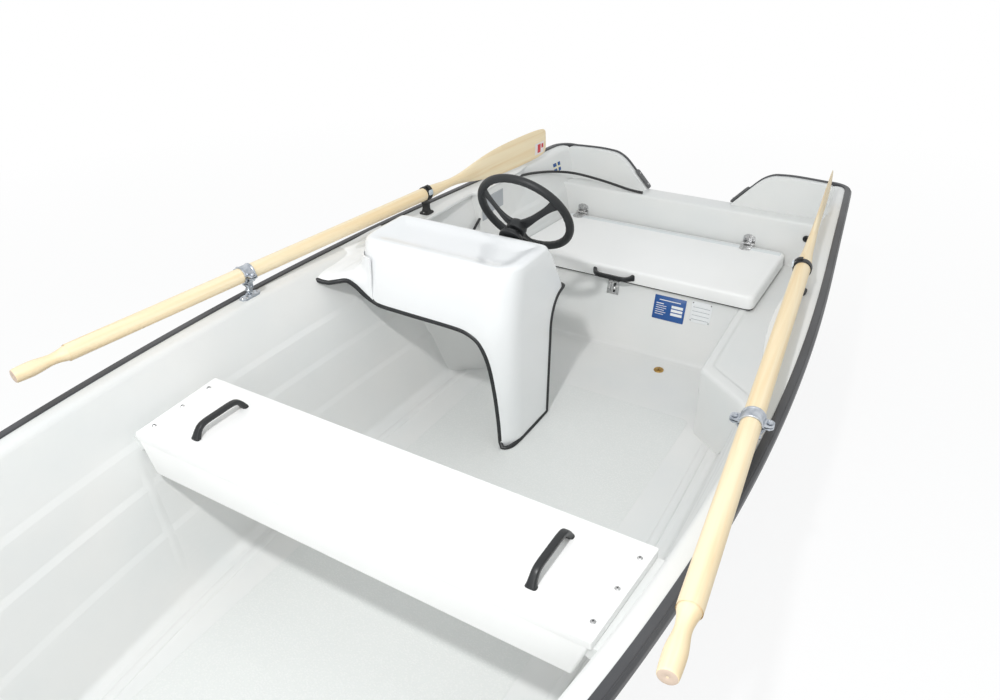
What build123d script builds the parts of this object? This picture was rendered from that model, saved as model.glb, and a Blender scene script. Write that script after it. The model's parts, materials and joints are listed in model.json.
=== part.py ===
"""Open clinker fishing dinghy with side console, oars, seats and stern locker.

Frame: +X forward (bow), +Y port, +Z up, millimetres. Z is 0 at the waterline and X is 0 amidships.
Fore-and-aft places are measured from the transom's aft face and turned into X by from_transom.
"""
import math
import os

from build123d import *

os.makedirs("parts", exist_ok=True)

# ---- Driving dimensions -------------------------------------------------------------------------
LENGTH = 4350.0              # transom to stem head
FIT = 0.3                    # gap between pieces that sit against each other
SKIN = 8.0                   # outer hull laminate
SIDE_CORE = 32.0             # foam and liner between the outer laminate and the cockpit side
BOTTOM_CORE = 16.0           # liner at the chine
LAND = 7.0                   # step of each clinker land
SOLE_Z = 10.0                # cockpit sole above the waterline
SOLE_INSET = 26.0            # the sole stops this far inside the liner's chine

# Hull stations: place as a share of the length, then millimetres: half-breadth and height at the
# sheer, half-breadth and height at the chine, height of the keel line.
STATION_COLUMNS = ("share", "sheer_y", "sheer_z", "chine_y", "chine_z", "keel_z")
STATIONS = (
    (0.0000, 580.0, 598.0, 476.0, -30.0, -118.0),
    (0.0046, 604.0, 598.0, 494.0, -30.0, -118.0),
    (0.0138, 620.0, 598.0, 506.0, -30.0, -118.0),
    (0.1150, 674.0, 598.0, 545.0, -34.0, -124.0),
    (0.2530, 743.0, 598.0, 580.0, -38.0, -128.0),
    (0.4140, 777.0, 598.0, 596.0, -38.0, -130.0),
    (0.5520, 743.0, 605.0, 566.0, -30.0, -128.0),
    (0.6780, 648.0, 624.0, 480.0, -8.0, -120.0),
    (0.7930, 500.0, 652.0, 330.0, 34.0, -98.0),
    (0.8850, 335.0, 680.0, 190.0, 110.0, -40.0),
    (0.9494, 180.0, 702.0, 88.0, 220.0, 80.0),
    (0.9862, 70.0, 716.0, 36.0, 400.0, 290.0),
)
LAND_SHARES = (0.30, 0.53, 0.72)     # heights of the side lands, chine 0 to sheer 1
BOTTOM_LAND_SHARE = 0.52             # the garboard land, keel 0 to chine 1

KEEL_WIDTH = 36.0
KEEL_DEPTH = 26.0

RAIL_WIDTH = 25.0                    # rubbing strake, outwards
RAIL_HEIGHT = 32.0
RAIL_ABOVE = 5.0                     # stands this much above the gunwale
RAIL_BEVEL = 6.0
QUARTER_RAIL = 14.0                  # the strake thins to this on the transom
QUARTER_HEIGHT = 30.0
QUARTER_INBOARD = 40.0               # and reaches that width this far in from the corner
STEM_TIP_SHARE = 0.35                # half-breadth of the stem's front face against the last station
STEM_RAKE_SHARE = 0.62               # and its height
END_CAP_LENGTH = 92.0
END_CAP_WIDTH = 24.0
END_CAP = 5.0

TRANSOM_BOARD = 24.0                 # full-height outer board
TRANSOM_CORE = 90.0                  # thickness to the inner face below the notch
NOTCH_HALF = 190.0
NOTCH_Z = 457.0
WING_CORNER = 321.0                  # half-breadth where the notch's slope meets the quarter's top
WING_ROUND = 70.0

SIDE_DECK = 12.0                     # flat inner gunwale beside the console
SIDE_DECK_START = 340.0
SIDE_DECK_EDGE = 641.0               # half-gap between the side decks
SIDE_DECK_TURN = 1050.0              # from here the inner edge runs out to the side
SIDE_DECK_END = 1750.0
POD_AFT = 400.0                      # duct under the side deck
POD_FRONT = 700.0
POD_AFT_Y = 600.0
POD_FRONT_Y = 612.0

BENCH_Z = 270.0                      # side bench tops
BENCH_INNER = 402.0                  # half-gap between the benches at the locker front
BENCH_FLARE = 18.0                   # how much the inner edges open towards the bow
BENCH_END = 1000.0                   # inner front corner
BENCH_OUTER_END = 1250.0             # outer front corner, at the hull side
PANEL_X = 530.0                      # forward face of the locker front, at its top
PANEL_FOOT = 75.0                    # its foot stands this much further forward
PANEL = 20.0

LID_AFT = 104.0
LID_FRONT = 548.0
LID_PORT = 455.0
LID_STARBOARD = 552.0                # the lid runs on over the starboard bench
LID_STARBOARD_AFT = 507.0            # and narrows aft, along the hull side
LID = 58.0
LID_ROUND = 16.0
LID_CORNER = 30.0
HINGE_YS = {1: 300.0, -1: -455.0}    # by side
HINGE_LEAF = 50.0
HINGE_LEAF_HEIGHT = 36.0
HINGE_RISE = 6.0                     # axis above the lid's top
HINGE_KNUCKLE = 10.0

THWART_AFT = 2017.0
THWART_DEPTH = 284.0
THWART_TOP = 477.0
THWART_END_GAP = 19.0                # between the thwart's end and the hull side
THWART = 22.0
THWART_APRON = 121.0
THWART_LIP = 38.0
RISER_WIDTH = 70.0                   # ledge under each end of the thwart
RISER_HEIGHT = 46.0

PULL_CENTRES = 149.0                 # pull handles: hole centres
PULL_RISE = 38.0
PULL_WIDTH = 20.0
PULL_BAR = 14.0
THWART_PULL_Y = 487.0
LID_PULL_Y = -95.0

OAR_LENGTH = 2250.0
OAR_SHAFT = 46.0
OAR_Z = 674.0
OAR_CLAMP_X = 1765.0
OAR_CLAMP_INSET = 16.0               # clamp centre inboard of the sheer
OAR_TOE = 6.3                        # degrees: the blades lie nearer the middle than the grips
OAR_INBOARD = 683.0                  # clamp to grip end
GRIP_LENGTH = 150.0
GRIP = 34.0
OAR_NECK = 28.0                      # shaft at the blade's root
OAR_TAPER = 100.0                    # length over which the shaft thins to it
BLADE_LENGTH = 650.0
BLADE_WIDTH = 124.0
BLADE = 12.0
STRAP_GAP = 15.16                    # strap's middle to the start of the taper
CLAMP_WALL = 4.5
CLAMP_WIDTH = 38.0
CLAMP_LUG = 24.0
FORK_WALL = 6.0
PIN = 10.0
SOCKET_OUTER = 16.0
SOCKET_TUBE = 18.0
SOCKET_PLATE = 10.0

WHEEL = 350.0                        # steering wheel, over the rim
WHEEL_RIM = 28.0
WHEEL_AT = (1040.0, -210.0, 708.0)   # centre of the rim: from the transom, Y, Z
WHEEL_RAKE = 61.3                    # degrees between the shaft and the vertical
BEZEL = 84.0
BEZEL_DEPTH = 24.0
WHEEL_SHAFT = 22.0
HUB = 66.0
HUB_DEPTH = 34.0
HUB_SET = 45.0                       # the hub's outer face lies this far below the rim's plane
SPOKE_WIDTH = 26.0
SPOKE = 9.0

CONSOLE_WALL = 7.0
CONSOLE_TOP = 670.0
CONSOLE_AFT_TOP = 1148.0             # aft edge of the top
CONSOLE_FRONT_TOP = 1390.0
CONSOLE_FRONT_LOW = 1425.0           # front face at the arch
CONSOLE_FRONT_FOOT = 1400.0
CONSOLE_PORT_TOP = -57.0
CONSOLE_PORT_FOOT = -75.0
CONSOLE_STARBOARD = -640.0
CONSOLE_ROUND = 90.0                 # plan radius of the front corners
CONSOLE_AFT_ROUND = 24.0
DASH_EDGE = 480.0                    # lower edge of the dash
ARCH_Z = 455.0                       # lower edge of the front
LEG_AFT = 1138.0
LEG_RETURN = 45.0                    # how far the leg's front wraps round
TRIM = 12.0
TRAY_DEPTH = 28.0
TRAY_RIM = 20.0
WING_FRONT = 1520.0
WING_DEPTH = 52.0

CABLE = 11.0                         # steering cable
CABLE_BORE = 13.0

DECK_START_SHARE = 0.869
DECK = 24.0
BOW_SEAT_SHARE = 0.747
BOW_SEAT_Z = 330.0
BOW_EYE_Z = 520.0
BOW_EYE_HOLE = 16.0

PLATE = 1.6                          # blank plates on the locker front and the duct
PANEL_FITTINGS = (                   # node, thickness, Y limits, Z limits down from the bench tops
    ("data_plate", PLATE, 80.0, 207.0, 112.0, 22.0),
    ("capacity_plate", PLATE, 228.0, 308.0, 93.0, 15.0),
    ("hasp_plate", 6.0, -123.0, -72.0, 60.0, 6.0),
)
LABEL_AFT = 540.0
LABEL_FRONT = 688.0
LABEL_LOW = 475.0
LABEL_HIGH = 565.0
DRAIN_AT = (690.0, 172.0)            # from the transom, Y
DRAIN = 38.0
DRAIN_HEIGHT = 6.0
GROMMET_AT = (520.0, 395.0)          # Y, Z
GROMMET = 28.0
GROMMET_HOLE = 16.0


def from_transom(x: float) -> float:
    """X in the part's frame of a place measured forward of the transom."""
    return x - LENGTH / 2


def station(x: float) -> dict:
    """Hull section sizes at a place from the transom, straight between the stations."""
    rows = [dict(zip(STATION_COLUMNS, row)) for row in STATIONS]
    low, high = rows[-2:]
    for first, second in zip(rows, rows[1:]):
        if x <= second["share"] * LENGTH:
            low, high = first, second
            break
    part = (x / LENGTH - low["share"]) / (high["share"] - low["share"])
    return {key: low[key] + part * (high[key] - low[key]) for key in STATION_COLUMNS}


def mirrored(half: list) -> list:
    """Full outline from one half: starboard down to the keel, then up the port side."""
    return [(-y, z) for y, z in reversed(half) if y > 0.01] + half


def outer_half(s: dict) -> list:
    """Outer clinker outline of one side, keel to sheer."""
    points = [(0.0, s["keel_z"])]
    share = BOTTOM_LAND_SHARE
    y, z = share * s["chine_y"], s["keel_z"] + share * (s["chine_z"] - s["keel_z"])
    points += [(y - 1, z + LAND / 2), (y, z - LAND / 2)]
    points += [(s["chine_y"] - LAND, s["chine_z"]), (s["chine_y"], s["chine_z"] - LAND / 4)]
    for share in LAND_SHARES:
        y = s["chine_y"] + share * (s["sheer_y"] - s["chine_y"])
        z = s["chine_z"] + share * (s["sheer_z"] - s["chine_z"])
        points += [(y - LAND, z), (y, z - LAND / 4)]
    return points + [(s["sheer_y"], s["sheer_z"])]


def middle_half(s: dict) -> list:
    """Plain joint surface between the outer laminate and the liner."""
    off = SKIN + LAND
    return [(0.0, s["keel_z"] + off), (s["chine_y"] - off, s["chine_z"] + off),
            (s["sheer_y"] - SKIN, s["sheer_z"])]


def inner_half(s: dict) -> list:
    """Cockpit outline of one side: flat sole, then the liner's lands up to the sheer."""
    wall = SKIN + SIDE_CORE
    chine_y = max(s["chine_y"] - wall, 14.0)
    sheer_y = max(s["sheer_y"] - wall, 24.0)
    sole_y = max(chine_y - SOLE_INSET, 6.0)
    middle_rise = (s["chine_z"] - s["keel_z"]) / (s["chine_y"] - SKIN - LAND)
    sole_z = max(SOLE_Z, s["keel_z"] + SKIN + LAND + sole_y * middle_rise + BOTTOM_CORE)
    chine_z = max(sole_z + 8, s["chine_z"] + BOTTOM_CORE + SKIN)
    points = [(0.0, sole_z), (sole_y, sole_z), (chine_y, chine_z)]
    for share in LAND_SHARES:
        y = chine_y + share * (sheer_y - chine_y)
        z = chine_z + share * (s["sheer_z"] - chine_z)
        points += [(y - LAND, z), (y, z - LAND / 4)]
    return points + [(sheer_y, s["sheer_z"])]


def inner_at(x: float, z: float) -> float:
    """Half-breadth of the cockpit at a place from the transom and a height."""
    points = inner_half(station(x))[1:]
    low, high = next(pair for pair in zip(points, points[1:]) if pair[0][1] <= z <= pair[1][1])
    return low[0] + (z - low[1]) / (high[1] - low[1]) * (high[0] - low[0])


def section_face(points: list, x: float) -> Face:
    """Upright face across the hull at a place from the transom."""
    corners = [Vector(from_transom(x), y, z) for y, z in points]
    return Face(Wire.make_polygon(corners, close=True))


def ribbon(outside, inside, first: float, last: float) -> Part:
    """Solid between two half-outline functions, station by station."""
    faces = []
    for x in places(first, last):
        s = station(x)
        faces.append(section_face(mirrored(outside(s)) + mirrored(inside(s))[::-1], x))
    return Part() + loft(faces, ruled=True)


def places(first: float, last: float) -> list:
    """Station places between two limits, with the limits themselves."""
    inner = [row[0] * LENGTH for row in STATIONS if first + 1 < row[0] * LENGTH < last - 1]
    return [first] + inner + [last]


def cockpit(first: float, last: float, gap: float = FIT) -> Part:
    """The space inside the liner, a gap clear of it, up to well above the sheer."""
    faces = []
    for x in places(first, last):
        s = station(x)
        half = [(max(y - gap, 0.0), z + gap) for y, z in inner_half(s)]
        top = half[-1]
        half.append((top[0] + 60, top[1] + 200))
        faces.append(section_face(mirrored(half), x))
    return Part() + loft(faces, ruled=True)


def box(x0: float, x1: float, y0: float, y1: float, z0: float, z1: float) -> Part:
    """Box between limits; x is measured from the transom."""
    size = (x1 - x0, y1 - y0, z1 - z0)
    centre = (from_transom((x0 + x1) / 2), (y0 + y1) / 2, (z0 + z1) / 2)
    return Pos(*centre) * Box(*size)


def plan_prism(points: list, z0: float, z1: float) -> Part:
    """Upright prism over a plan outline; x is measured from the transom."""
    face = Face(Wire.make_polygon([Vector(from_transom(x), y, z0) for x, y in points], close=True))
    return Part() + extrude(face, amount=z1 - z0, dir=(0, 0, 1))


def side_prism(points: list, y0: float, y1: float) -> Part:
    """Prism across the boat over an outline of places from the transom and heights."""
    face = Face(Wire.make_polygon([Vector(from_transom(x), y0, z) for x, z in points], close=True))
    return Part() + extrude(face, amount=y1 - y0, dir=(0, 1, 0))


def save(shape, node: str) -> None:
    """Write one node."""
    export_step(shape, f"parts/{node}.step")


def turned(shape, x: float, y: float, z: float, about_y: float = 0.0, about_z: float = 0.0):
    """Shape built at its own origin, turned and set at a place from the transom."""
    return Pos(from_transom(x), y, z) * Rot(0, 0, about_z) * Rot(0, about_y, 0) * shape


def both_sides(build) -> None:
    """Run a builder for the port side (+1) and the starboard side (-1)."""
    for side, name in ((1, "port"), (-1, "starboard")):
        build(side, name)


# ---- Hull ---------------------------------------------------------------------------------------
END_STATION = STATIONS[-1][0] * LENGTH
LINER_END = END_STATION - 60
COCKPIT = cockpit(TRANSOM_BOARD, LINER_END)
OAR_CLAMP_Y = station(OAR_CLAMP_X)["sheer_y"] - OAR_CLAMP_INSET
STRAP_ALONG = OAR_INBOARD - OAR_LENGTH + BLADE_LENGTH + OAR_TAPER + STRAP_GAP   # from the clamp
STRAP_X = OAR_CLAMP_X + STRAP_ALONG * math.cos(math.radians(OAR_TOE))


def rowlock_hole(side: int) -> Part:
    """Clearance for the rowlock socket's tube."""
    depth = SOCKET_TUBE + FIT
    top = station(OAR_CLAMP_X)["sheer_z"]
    tube = Cylinder(SOCKET_OUTER / 2 + FIT, depth + 20)
    return turned(tube, OAR_CLAMP_X, side * OAR_CLAMP_Y, top - depth / 2 + 10)


rowlock_holes = rowlock_hole(1) + rowlock_hole(-1)
save(ribbon(outer_half, middle_half, 0.0, END_STATION) - rowlock_holes, "outer_hull")
save(ribbon(middle_half, inner_half, TRANSOM_BOARD, LINER_END) - rowlock_holes, "inner_liner")


def transom() -> Part:
    """Outer board with raised quarters, and the thick core below the motor notch."""
    faces = []
    for x in places(0.0, TRANSOM_BOARD):
        s = station(x)
        notch = [(WING_CORNER, s["sheer_z"]), (NOTCH_HALF, NOTCH_Z)]
        notch += [(-y, z) for y, z in reversed(notch)]
        faces.append(section_face(mirrored(middle_half(s)) + notch, x))
    board = Part() + loft(faces, ruled=True)
    corners = [edge for edge in board.edges().filter_by(Axis.X)
               if abs(abs(edge.center().Y) - WING_CORNER) < 1]
    board = fillet(corners, WING_ROUND)
    core = COCKPIT & box(TRANSOM_BOARD, TRANSOM_CORE, -700, 700, -200, NOTCH_Z)
    return board + core


save(transom(), "transom")


def keel() -> Part:
    """Rubbing keel under the hull, following the keel line."""
    faces = []
    for x in places(150.0, STATIONS[-3][0] * LENGTH):
        z = station(x)["keel_z"] - FIT
        half = KEEL_WIDTH / 2
        low = z - KEEL_DEPTH
        faces.append(section_face([(-half, low), (half, low), (half, z), (-half, z)], x))
    return Part() + loft(faces, ruled=True)


save(keel(), "keel_strip")


def stem() -> Part:
    """Raked closing piece at the bow."""
    s = station(END_STATION)
    wide = mirrored(outer_half(s))
    top = s["sheer_z"]
    narrow = [(STEM_TIP_SHARE * y, top - STEM_RAKE_SHARE * (top - z)) for y, z in wide]
    faces = [section_face(wide, END_STATION), section_face(narrow, LENGTH)]
    return Part() + loft(faces, ruled=True)


save(stem(), "stem_cap")


def mitre(first: Vector, second: Vector) -> Vector:
    """Sum of two unit normals, as long as keeps both their faces at their distance."""
    total = first + second
    return total * (2 / total.dot(total))


def swept_strake(path: list, profile) -> Part:
    """Strake along rows of a point, the next run's outward and upward normals, width and height."""
    faces = []
    for index, (point, out, up, width, height) in enumerate(path):
        before = path[max(index - 1, 0)]
        out, up = mitre(before[1], out), mitre(before[2], up)
        corners = [point + out * a + up * b for a, b in profile(width, height)]
        faces.append(Face(Wire.make_polygon(corners, close=True)))
    return Part() + loft(faces, ruled=True)


def strake_profile(width: float, height: float) -> list:
    """Outline of the strake: outwards, upwards from the sheer."""
    low, top, bevel = RAIL_ABOVE - height, RAIL_ABOVE, min(RAIL_BEVEL, width / 3)
    return [(FIT, low), (width - bevel, low), (width, low + bevel), (width, top - bevel),
            (width - bevel, top), (FIT, top)]


def quarter_edge(side: int) -> list:
    """Corners of the transom's top edge from the hull side to the notch: half-breadth, height."""
    top = station(0.0)["sheer_z"]
    slope = math.atan2(top - NOTCH_Z, WING_CORNER - NOTCH_HALF)
    tangent = WING_ROUND * math.tan(slope / 2)
    chamfer = tangent - WING_ROUND * math.tan(slope / 4)
    edge = [(station(0.0)["sheer_y"] - QUARTER_INBOARD, top), (WING_CORNER + chamfer, top),
            (WING_CORNER - chamfer * math.cos(slope), top - chamfer * math.sin(slope)),
            (NOTCH_HALF, NOTCH_Z)]
    return [(side * y, z) for y, z in edge]


def rub_rail(side: int, name: str) -> None:
    """Strake along one sheer, round the stem and the transom's corner and down to the notch."""
    up, ahead, astern = Vector(0, 0, 1), Vector(1, 0, 0), Vector(-1, 0, 0)
    tip = station(END_STATION)
    sheer = [(LENGTH, STEM_TIP_SHARE * tip["sheer_y"], tip["sheer_z"])]
    for x in reversed(places(0.0, END_STATION)):
        s = station(x)
        sheer.append((x, s["sheer_y"], s["sheer_z"]))
    points = [Vector(from_transom(x), side * y, z) for x, y, z in sheer]
    path = [(Vector(points[0].X, side * FIT, points[0].Z), ahead, up, RAIL_WIDTH, RAIL_HEIGHT)]
    for here, after in zip(points, points[1:]):
        run = after - here
        out = Vector(run.Y * side, -run.X * side, 0).normalized()
        path.append((here, out, up, RAIL_WIDTH, RAIL_HEIGHT))
    path.append((points[-1], astern, up, RAIL_WIDTH / 2, RAIL_HEIGHT))
    edge = [Vector(from_transom(0.0), y, z) for y, z in quarter_edge(side)]
    for here, after in zip(edge, edge[1:]):
        run = (after - here).normalized()
        lift = Vector(0, side * run.Z, -side * run.Y)
        path.append((here, astern, lift, QUARTER_RAIL, QUARTER_HEIGHT))
    path.append((edge[-1], astern, lift, QUARTER_RAIL, QUARTER_HEIGHT))
    save(swept_strake(path, strake_profile), f"rub_rail_{name}")
    run = (edge[-2] - edge[-1]).normalized()
    start = edge[-1] + run * FIT
    low = RAIL_ABOVE + FIT
    ahead_edge = END_CAP_WIDTH - QUARTER_RAIL - FIT
    lines = [(ahead_edge, low), (ahead_edge, low + END_CAP),
             (-QUARTER_RAIL, low + END_CAP), (-QUARTER_RAIL, low)]
    faces = [Face(Wire.make_polygon([at + ahead * a + lift * b for a, b in lines], close=True))
             for at in (start, start + run * END_CAP_LENGTH)]
    save(Part() + loft(faces, ruled=True), f"rail_end_cap_{name}")


both_sides(rub_rail)


def foredeck() -> Part:
    """Small deck between the gunwales at the bow."""
    faces = []
    for x in places(DECK_START_SHARE * LENGTH, LINER_END - 2):
        s = station(x)
        half = inner_half(s)[-1][0] - FIT
        slope = (inner_half(s)[-1][0] - inner_half(s)[-2][0]) / (s["sheer_z"] - inner_half(s)[-2][1])
        low = half - slope * DECK
        faces.append(section_face([(-half, s["sheer_z"]), (-low, s["sheer_z"] - DECK),
                                   (low, s["sheer_z"] - DECK), (half, s["sheer_z"])], x))
    return Part() + loft(faces, ruled=True)


BOW_SEAT_X = BOW_SEAT_SHARE * LENGTH
save(foredeck(), "foredeck")
save(COCKPIT & box(BOW_SEAT_X, LINER_END - 3, -700, 700, BOW_SEAT_Z - 22, BOW_SEAT_Z), "bow_seat")
bulkhead = box(BOW_SEAT_X + 20, BOW_SEAT_X + 40, -700, 700, -100, BOW_SEAT_Z - 22 - FIT)
save(COCKPIT & bulkhead, "bow_bulkhead")


def bow_eye() -> Part:
    """Towing eye on the stem's front face."""
    x, half = LENGTH + FIT, BOW_EYE_HOLE
    plate = box(x, x + 6, -half, half, BOW_EYE_Z - 30, BOW_EYE_Z + 30)
    lug = box(x, x + 24, -6, 6, BOW_EYE_Z - half, BOW_EYE_Z + half)
    lug += turned(Rot(90, 0, 0) * Cylinder(half, 12), x + 24, 0, BOW_EYE_Z)
    return plate + lug - turned(Rot(90, 0, 0) * Cylinder(BOW_EYE_HOLE / 2, 40), x + 24, 0, BOW_EYE_Z)


save(bow_eye(), "bow_eye")

# ---- Steering cable -----------------------------------------------------------------------------
CABLE_ROUTE = (                      # from the transom, Y, Z
    (1104.0, -330.0, 562.0),
    (1204.0, -420.0, 500.0),
    (1190.0, -545.0, 415.0),
    (1075.0, -588.0, 360.0),
    (940.0, -602.0, 375.0),
    (810.0, -609.0, 428.0),
    (690.0, -621.0, 490.0),
    (590.0, -619.0, 540.0),
    (480.0, -612.0, 574.0),
    (380.0, -601.0, 573.0),
    (265.0, -584.0, 551.0),
    (165.0, -562.0, 527.0),
    (95.0, -505.0, 508.0),
    (84.0, -405.0, 495.0),
    (81.0, -300.0, 478.0),
    (78.0, -235.0, 464.5),
    (76.0, -182.0, 463.0),
)
BEND_SHARE = 0.45


def tube_along(route: tuple, radius: float) -> Part:
    """Round cord along a route: straight runs joined by tangent arcs."""
    points = [Vector(from_transom(x), y, z) for x, y, z in route]
    radii = []
    for before, here, after in zip(points, points[1:], points[2:]):
        first, second = here - before, after - here
        turn = math.radians(first.get_angle(second))
        radii.append(BEND_SHARE * min(first.length, second.length) / math.tan(turn / 2))
    line = FilletPolyline(*points, radius=radii)
    start = Plane(origin=line @ 0, z_dir=line % 0)
    return Part() + sweep(start * Circle(radius), path=line)


save(tube_along(CABLE_ROUTE, CABLE / 2), "steering_cable")


def side_deck(side: int, name: str) -> None:
    """Flat inner gunwale aft of the rowlocks, with the duct that carries the cable below it."""
    top = station(SIDE_DECK_START)["sheer_z"]
    beyond = station(SIDE_DECK_END)["sheer_y"]
    inner_edge = [(SIDE_DECK_START, inner_at(SIDE_DECK_START, top)), (POD_AFT, POD_AFT_Y),
                  (POD_FRONT, POD_FRONT_Y), (POD_FRONT, SIDE_DECK_EDGE)]
    at_console = CONSOLE_AFT_TOP - FIT
    forward_end = {1: [(SIDE_DECK_TURN, SIDE_DECK_EDGE), (SIDE_DECK_END, beyond)],
                   -1: [(at_console, SIDE_DECK_EDGE), (at_console, beyond)]}[side]
    plate = inner_edge + forward_end + [(SIDE_DECK_START, beyond)]
    duct = [(POD_AFT, POD_AFT_Y), (POD_FRONT, POD_FRONT_Y), (POD_FRONT, beyond), (SIDE_DECK_START, beyond)]
    deck = COCKPIT & plan_prism([(x, side * y) for x, y in plate], top - SIDE_DECK, top - FIT)
    deck += COCKPIT & plan_prism([(x, side * y) for x, y in duct], BENCH_Z + FIT, top - FIT)
    if side < 0:
        deck -= tube_along(CABLE_ROUTE, CABLE_BORE / 2)
    save(deck, f"side_deck_{name}")


both_sides(side_deck)

# ---- Stern benches and locker -------------------------------------------------------------------


def side_bench(side: int, name: str) -> None:
    """Foam-filled side bench from the transom to its slanted front end."""
    aft, beyond = TRANSOM_CORE + FIT, station(BENCH_OUTER_END)["sheer_y"]
    outline = [(aft, BENCH_INNER), (PANEL_X, BENCH_INNER), (BENCH_END, BENCH_INNER + BENCH_FLARE),
               (BENCH_OUTER_END, beyond - 40), (BENCH_OUTER_END, beyond), (aft, beyond)]
    bench = COCKPIT & plan_prism([(x, side * y) for x, y in outline], -100, BENCH_Z)
    save(bench, f"side_bench_{name}")


both_sides(side_bench)
panel_half = BENCH_INNER - FIT


def panel_at(z: float) -> float:
    """Forward face of the sloping locker front at a height."""
    return PANEL_X + PANEL_FOOT * (BENCH_Z - z) / (BENCH_Z - SOLE_Z)


def on_panel(behind: float, front: float, y0: float, y1: float, z0: float, z1: float) -> Part:
    """Flat piece along the locker front between two distances from its face."""
    outline = [(panel_at(z0) + behind, z0), (panel_at(z0) + front, z0), (panel_at(z1) + front, z1),
               (panel_at(z1) + behind, z1)]
    return side_prism(outline, y0, y1)


save(on_panel(-PANEL, 0, -panel_half, panel_half, SOLE_Z + FIT, BENCH_Z), "locker_front")

lid_outline = [(LID_AFT, -LID_STARBOARD_AFT), (LID_FRONT, -LID_STARBOARD), (LID_FRONT, LID_PORT),
               (LID_AFT, LID_PORT)]
lid = plan_prism(lid_outline, BENCH_Z + FIT, BENCH_Z + FIT + LID)
lid = fillet(lid.edges().filter_by(Axis.Z), LID_CORNER)
lid = fillet(lid.faces().sort_by(Axis.Z)[-1].edges(), LID_ROUND)
save(lid, "locker_lid")
LID_AXIS_X = LID_AFT
LID_AXIS_Z = BENCH_Z + FIT + LID + HINGE_RISE


def lid_hinge(side: int, name: str) -> None:
    """Two-leaf hinge: one leaf on the transom, one on the lid."""
    y, half, pin = HINGE_YS[side], HINGE_LEAF / 2, HINGE_KNUCKLE / 2
    aft = TRANSOM_CORE + FIT
    leaf = box(aft, aft + 2.5, y - half, y + half, LID_AXIS_Z, LID_AXIS_Z + HINGE_LEAF_HEIGHT)
    knuckle = turned(Rot(90, 0, 0) * Cylinder(pin, half - 1), LID_AXIS_X, y, LID_AXIS_Z)
    link_half = half / 2 - 0.5
    link = box(aft, LID_AXIS_X - 2, y - link_half, y + link_half, LID_AXIS_Z - 3, LID_AXIS_Z + 3)
    save(leaf + link + knuckle, f"lid_hinge_fixed_{name}")
    on_lid = LID_AXIS_Z - HINGE_RISE + FIT
    arm = half / 2 + 0.5
    lid_leaf = box(LID_AXIS_X + LID_ROUND, LID_AXIS_X + 60, y - half, y + half, on_lid, LID_AXIS_Z - 3)
    for near, far in ((arm, half), (-half, -arm)):
        reach = LID_AXIS_X + LID_ROUND + 2
        lid_leaf += box(LID_AXIS_X, reach, y + near, y + far, LID_AXIS_Z - 5, LID_AXIS_Z - 1)
        ear = Rot(90, 0, 0) * Cylinder(pin, far - near)
        lid_leaf += turned(ear, LID_AXIS_X, y + (near + far) / 2, LID_AXIS_Z)
    save(lid_leaf, f"lid_hinge_leaf_{name}")


both_sides(lid_hinge)


def pull_handle() -> Part:
    """Bow handle along X, feet on Z 0: two feet joined by a raised bar with sloping shoulders."""
    half = PULL_CENTRES / 2
    under = PULL_RISE - PULL_BAR
    outline = [(-half - 14, 0), (-half + 14, 0), (-half + 26, under), (half - 26, under), (half - 14, 0),
               (half + 14, 0), (half + 6, 12), (half - 16, PULL_RISE), (-half + 16, PULL_RISE),
               (-half - 6, 12)]
    face = Face(Wire.make_polygon([Vector(x, -PULL_WIDTH / 2, z) for x, z in outline], close=True))
    return Part() + extrude(face, amount=PULL_WIDTH, dir=(0, 1, 0))


on_front = Rot(0, 90, 0) * Rot(0, 0, 90) * pull_handle()
save(turned(on_front, LID_FRONT + FIT, LID_PULL_Y, BENCH_Z + LID / 2), "lid_handle")

# ---- Mid thwart ---------------------------------------------------------------------------------
THWART_FRONT = THWART_AFT + THWART_DEPTH
THWART_UNDER = THWART_TOP - THWART
APRON_HALF = inner_at(THWART_FRONT, THWART_UNDER - RISER_HEIGHT) - RISER_WIDTH


def thwart() -> Part:
    """Seat plate with a deep front apron and a shallow aft lip."""
    half_aft = inner_at(THWART_AFT, THWART_UNDER) - THWART_END_GAP
    half_front = inner_at(THWART_FRONT, THWART_UNDER) - THWART_END_GAP
    corners = [(THWART_AFT, -half_aft), (THWART_FRONT, -half_front), (THWART_FRONT, half_front),
               (THWART_AFT, half_aft)]
    seat = plan_prism(corners, THWART_UNDER, THWART_TOP)
    apron_low, lip_low = THWART_TOP - THWART_APRON, THWART_TOP - THWART_LIP
    seat += box(THWART_FRONT - THWART, THWART_FRONT, -APRON_HALF, APRON_HALF, apron_low, THWART_UNDER)
    seat += box(THWART_AFT, THWART_AFT + THWART, -APRON_HALF, APRON_HALF, lip_low, THWART_UNDER)
    return seat


save(thwart(), "mid_thwart")


def thwart_riser(side: int, name: str) -> None:
    """Ledge on the hull side that carries the thwart's end, and the handle on the seat."""
    y0, y1 = sorted((side * (APRON_HALF + FIT), side * station(THWART_AFT)["sheer_y"]))
    ledge = box(THWART_AFT + 10, THWART_FRONT - 10, y0, y1, THWART_UNDER - RISER_HEIGHT, THWART_UNDER)
    save(COCKPIT & ledge, f"thwart_riser_{name}")
    x = THWART_AFT + THWART_DEPTH / 2
    save(turned(pull_handle(), x, side * THWART_PULL_Y, THWART_TOP), f"thwart_handle_{name}")


both_sides(thwart_riser)

# ---- Console ------------------------------------------------------------------------------------
RAKE = math.radians(WHEEL_RAKE)


def dash_x(z: float) -> float:
    """Place of the sloping dash at a height."""
    return CONSOLE_AFT_TOP - (CONSOLE_TOP - z) / math.tan(RAKE)


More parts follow.
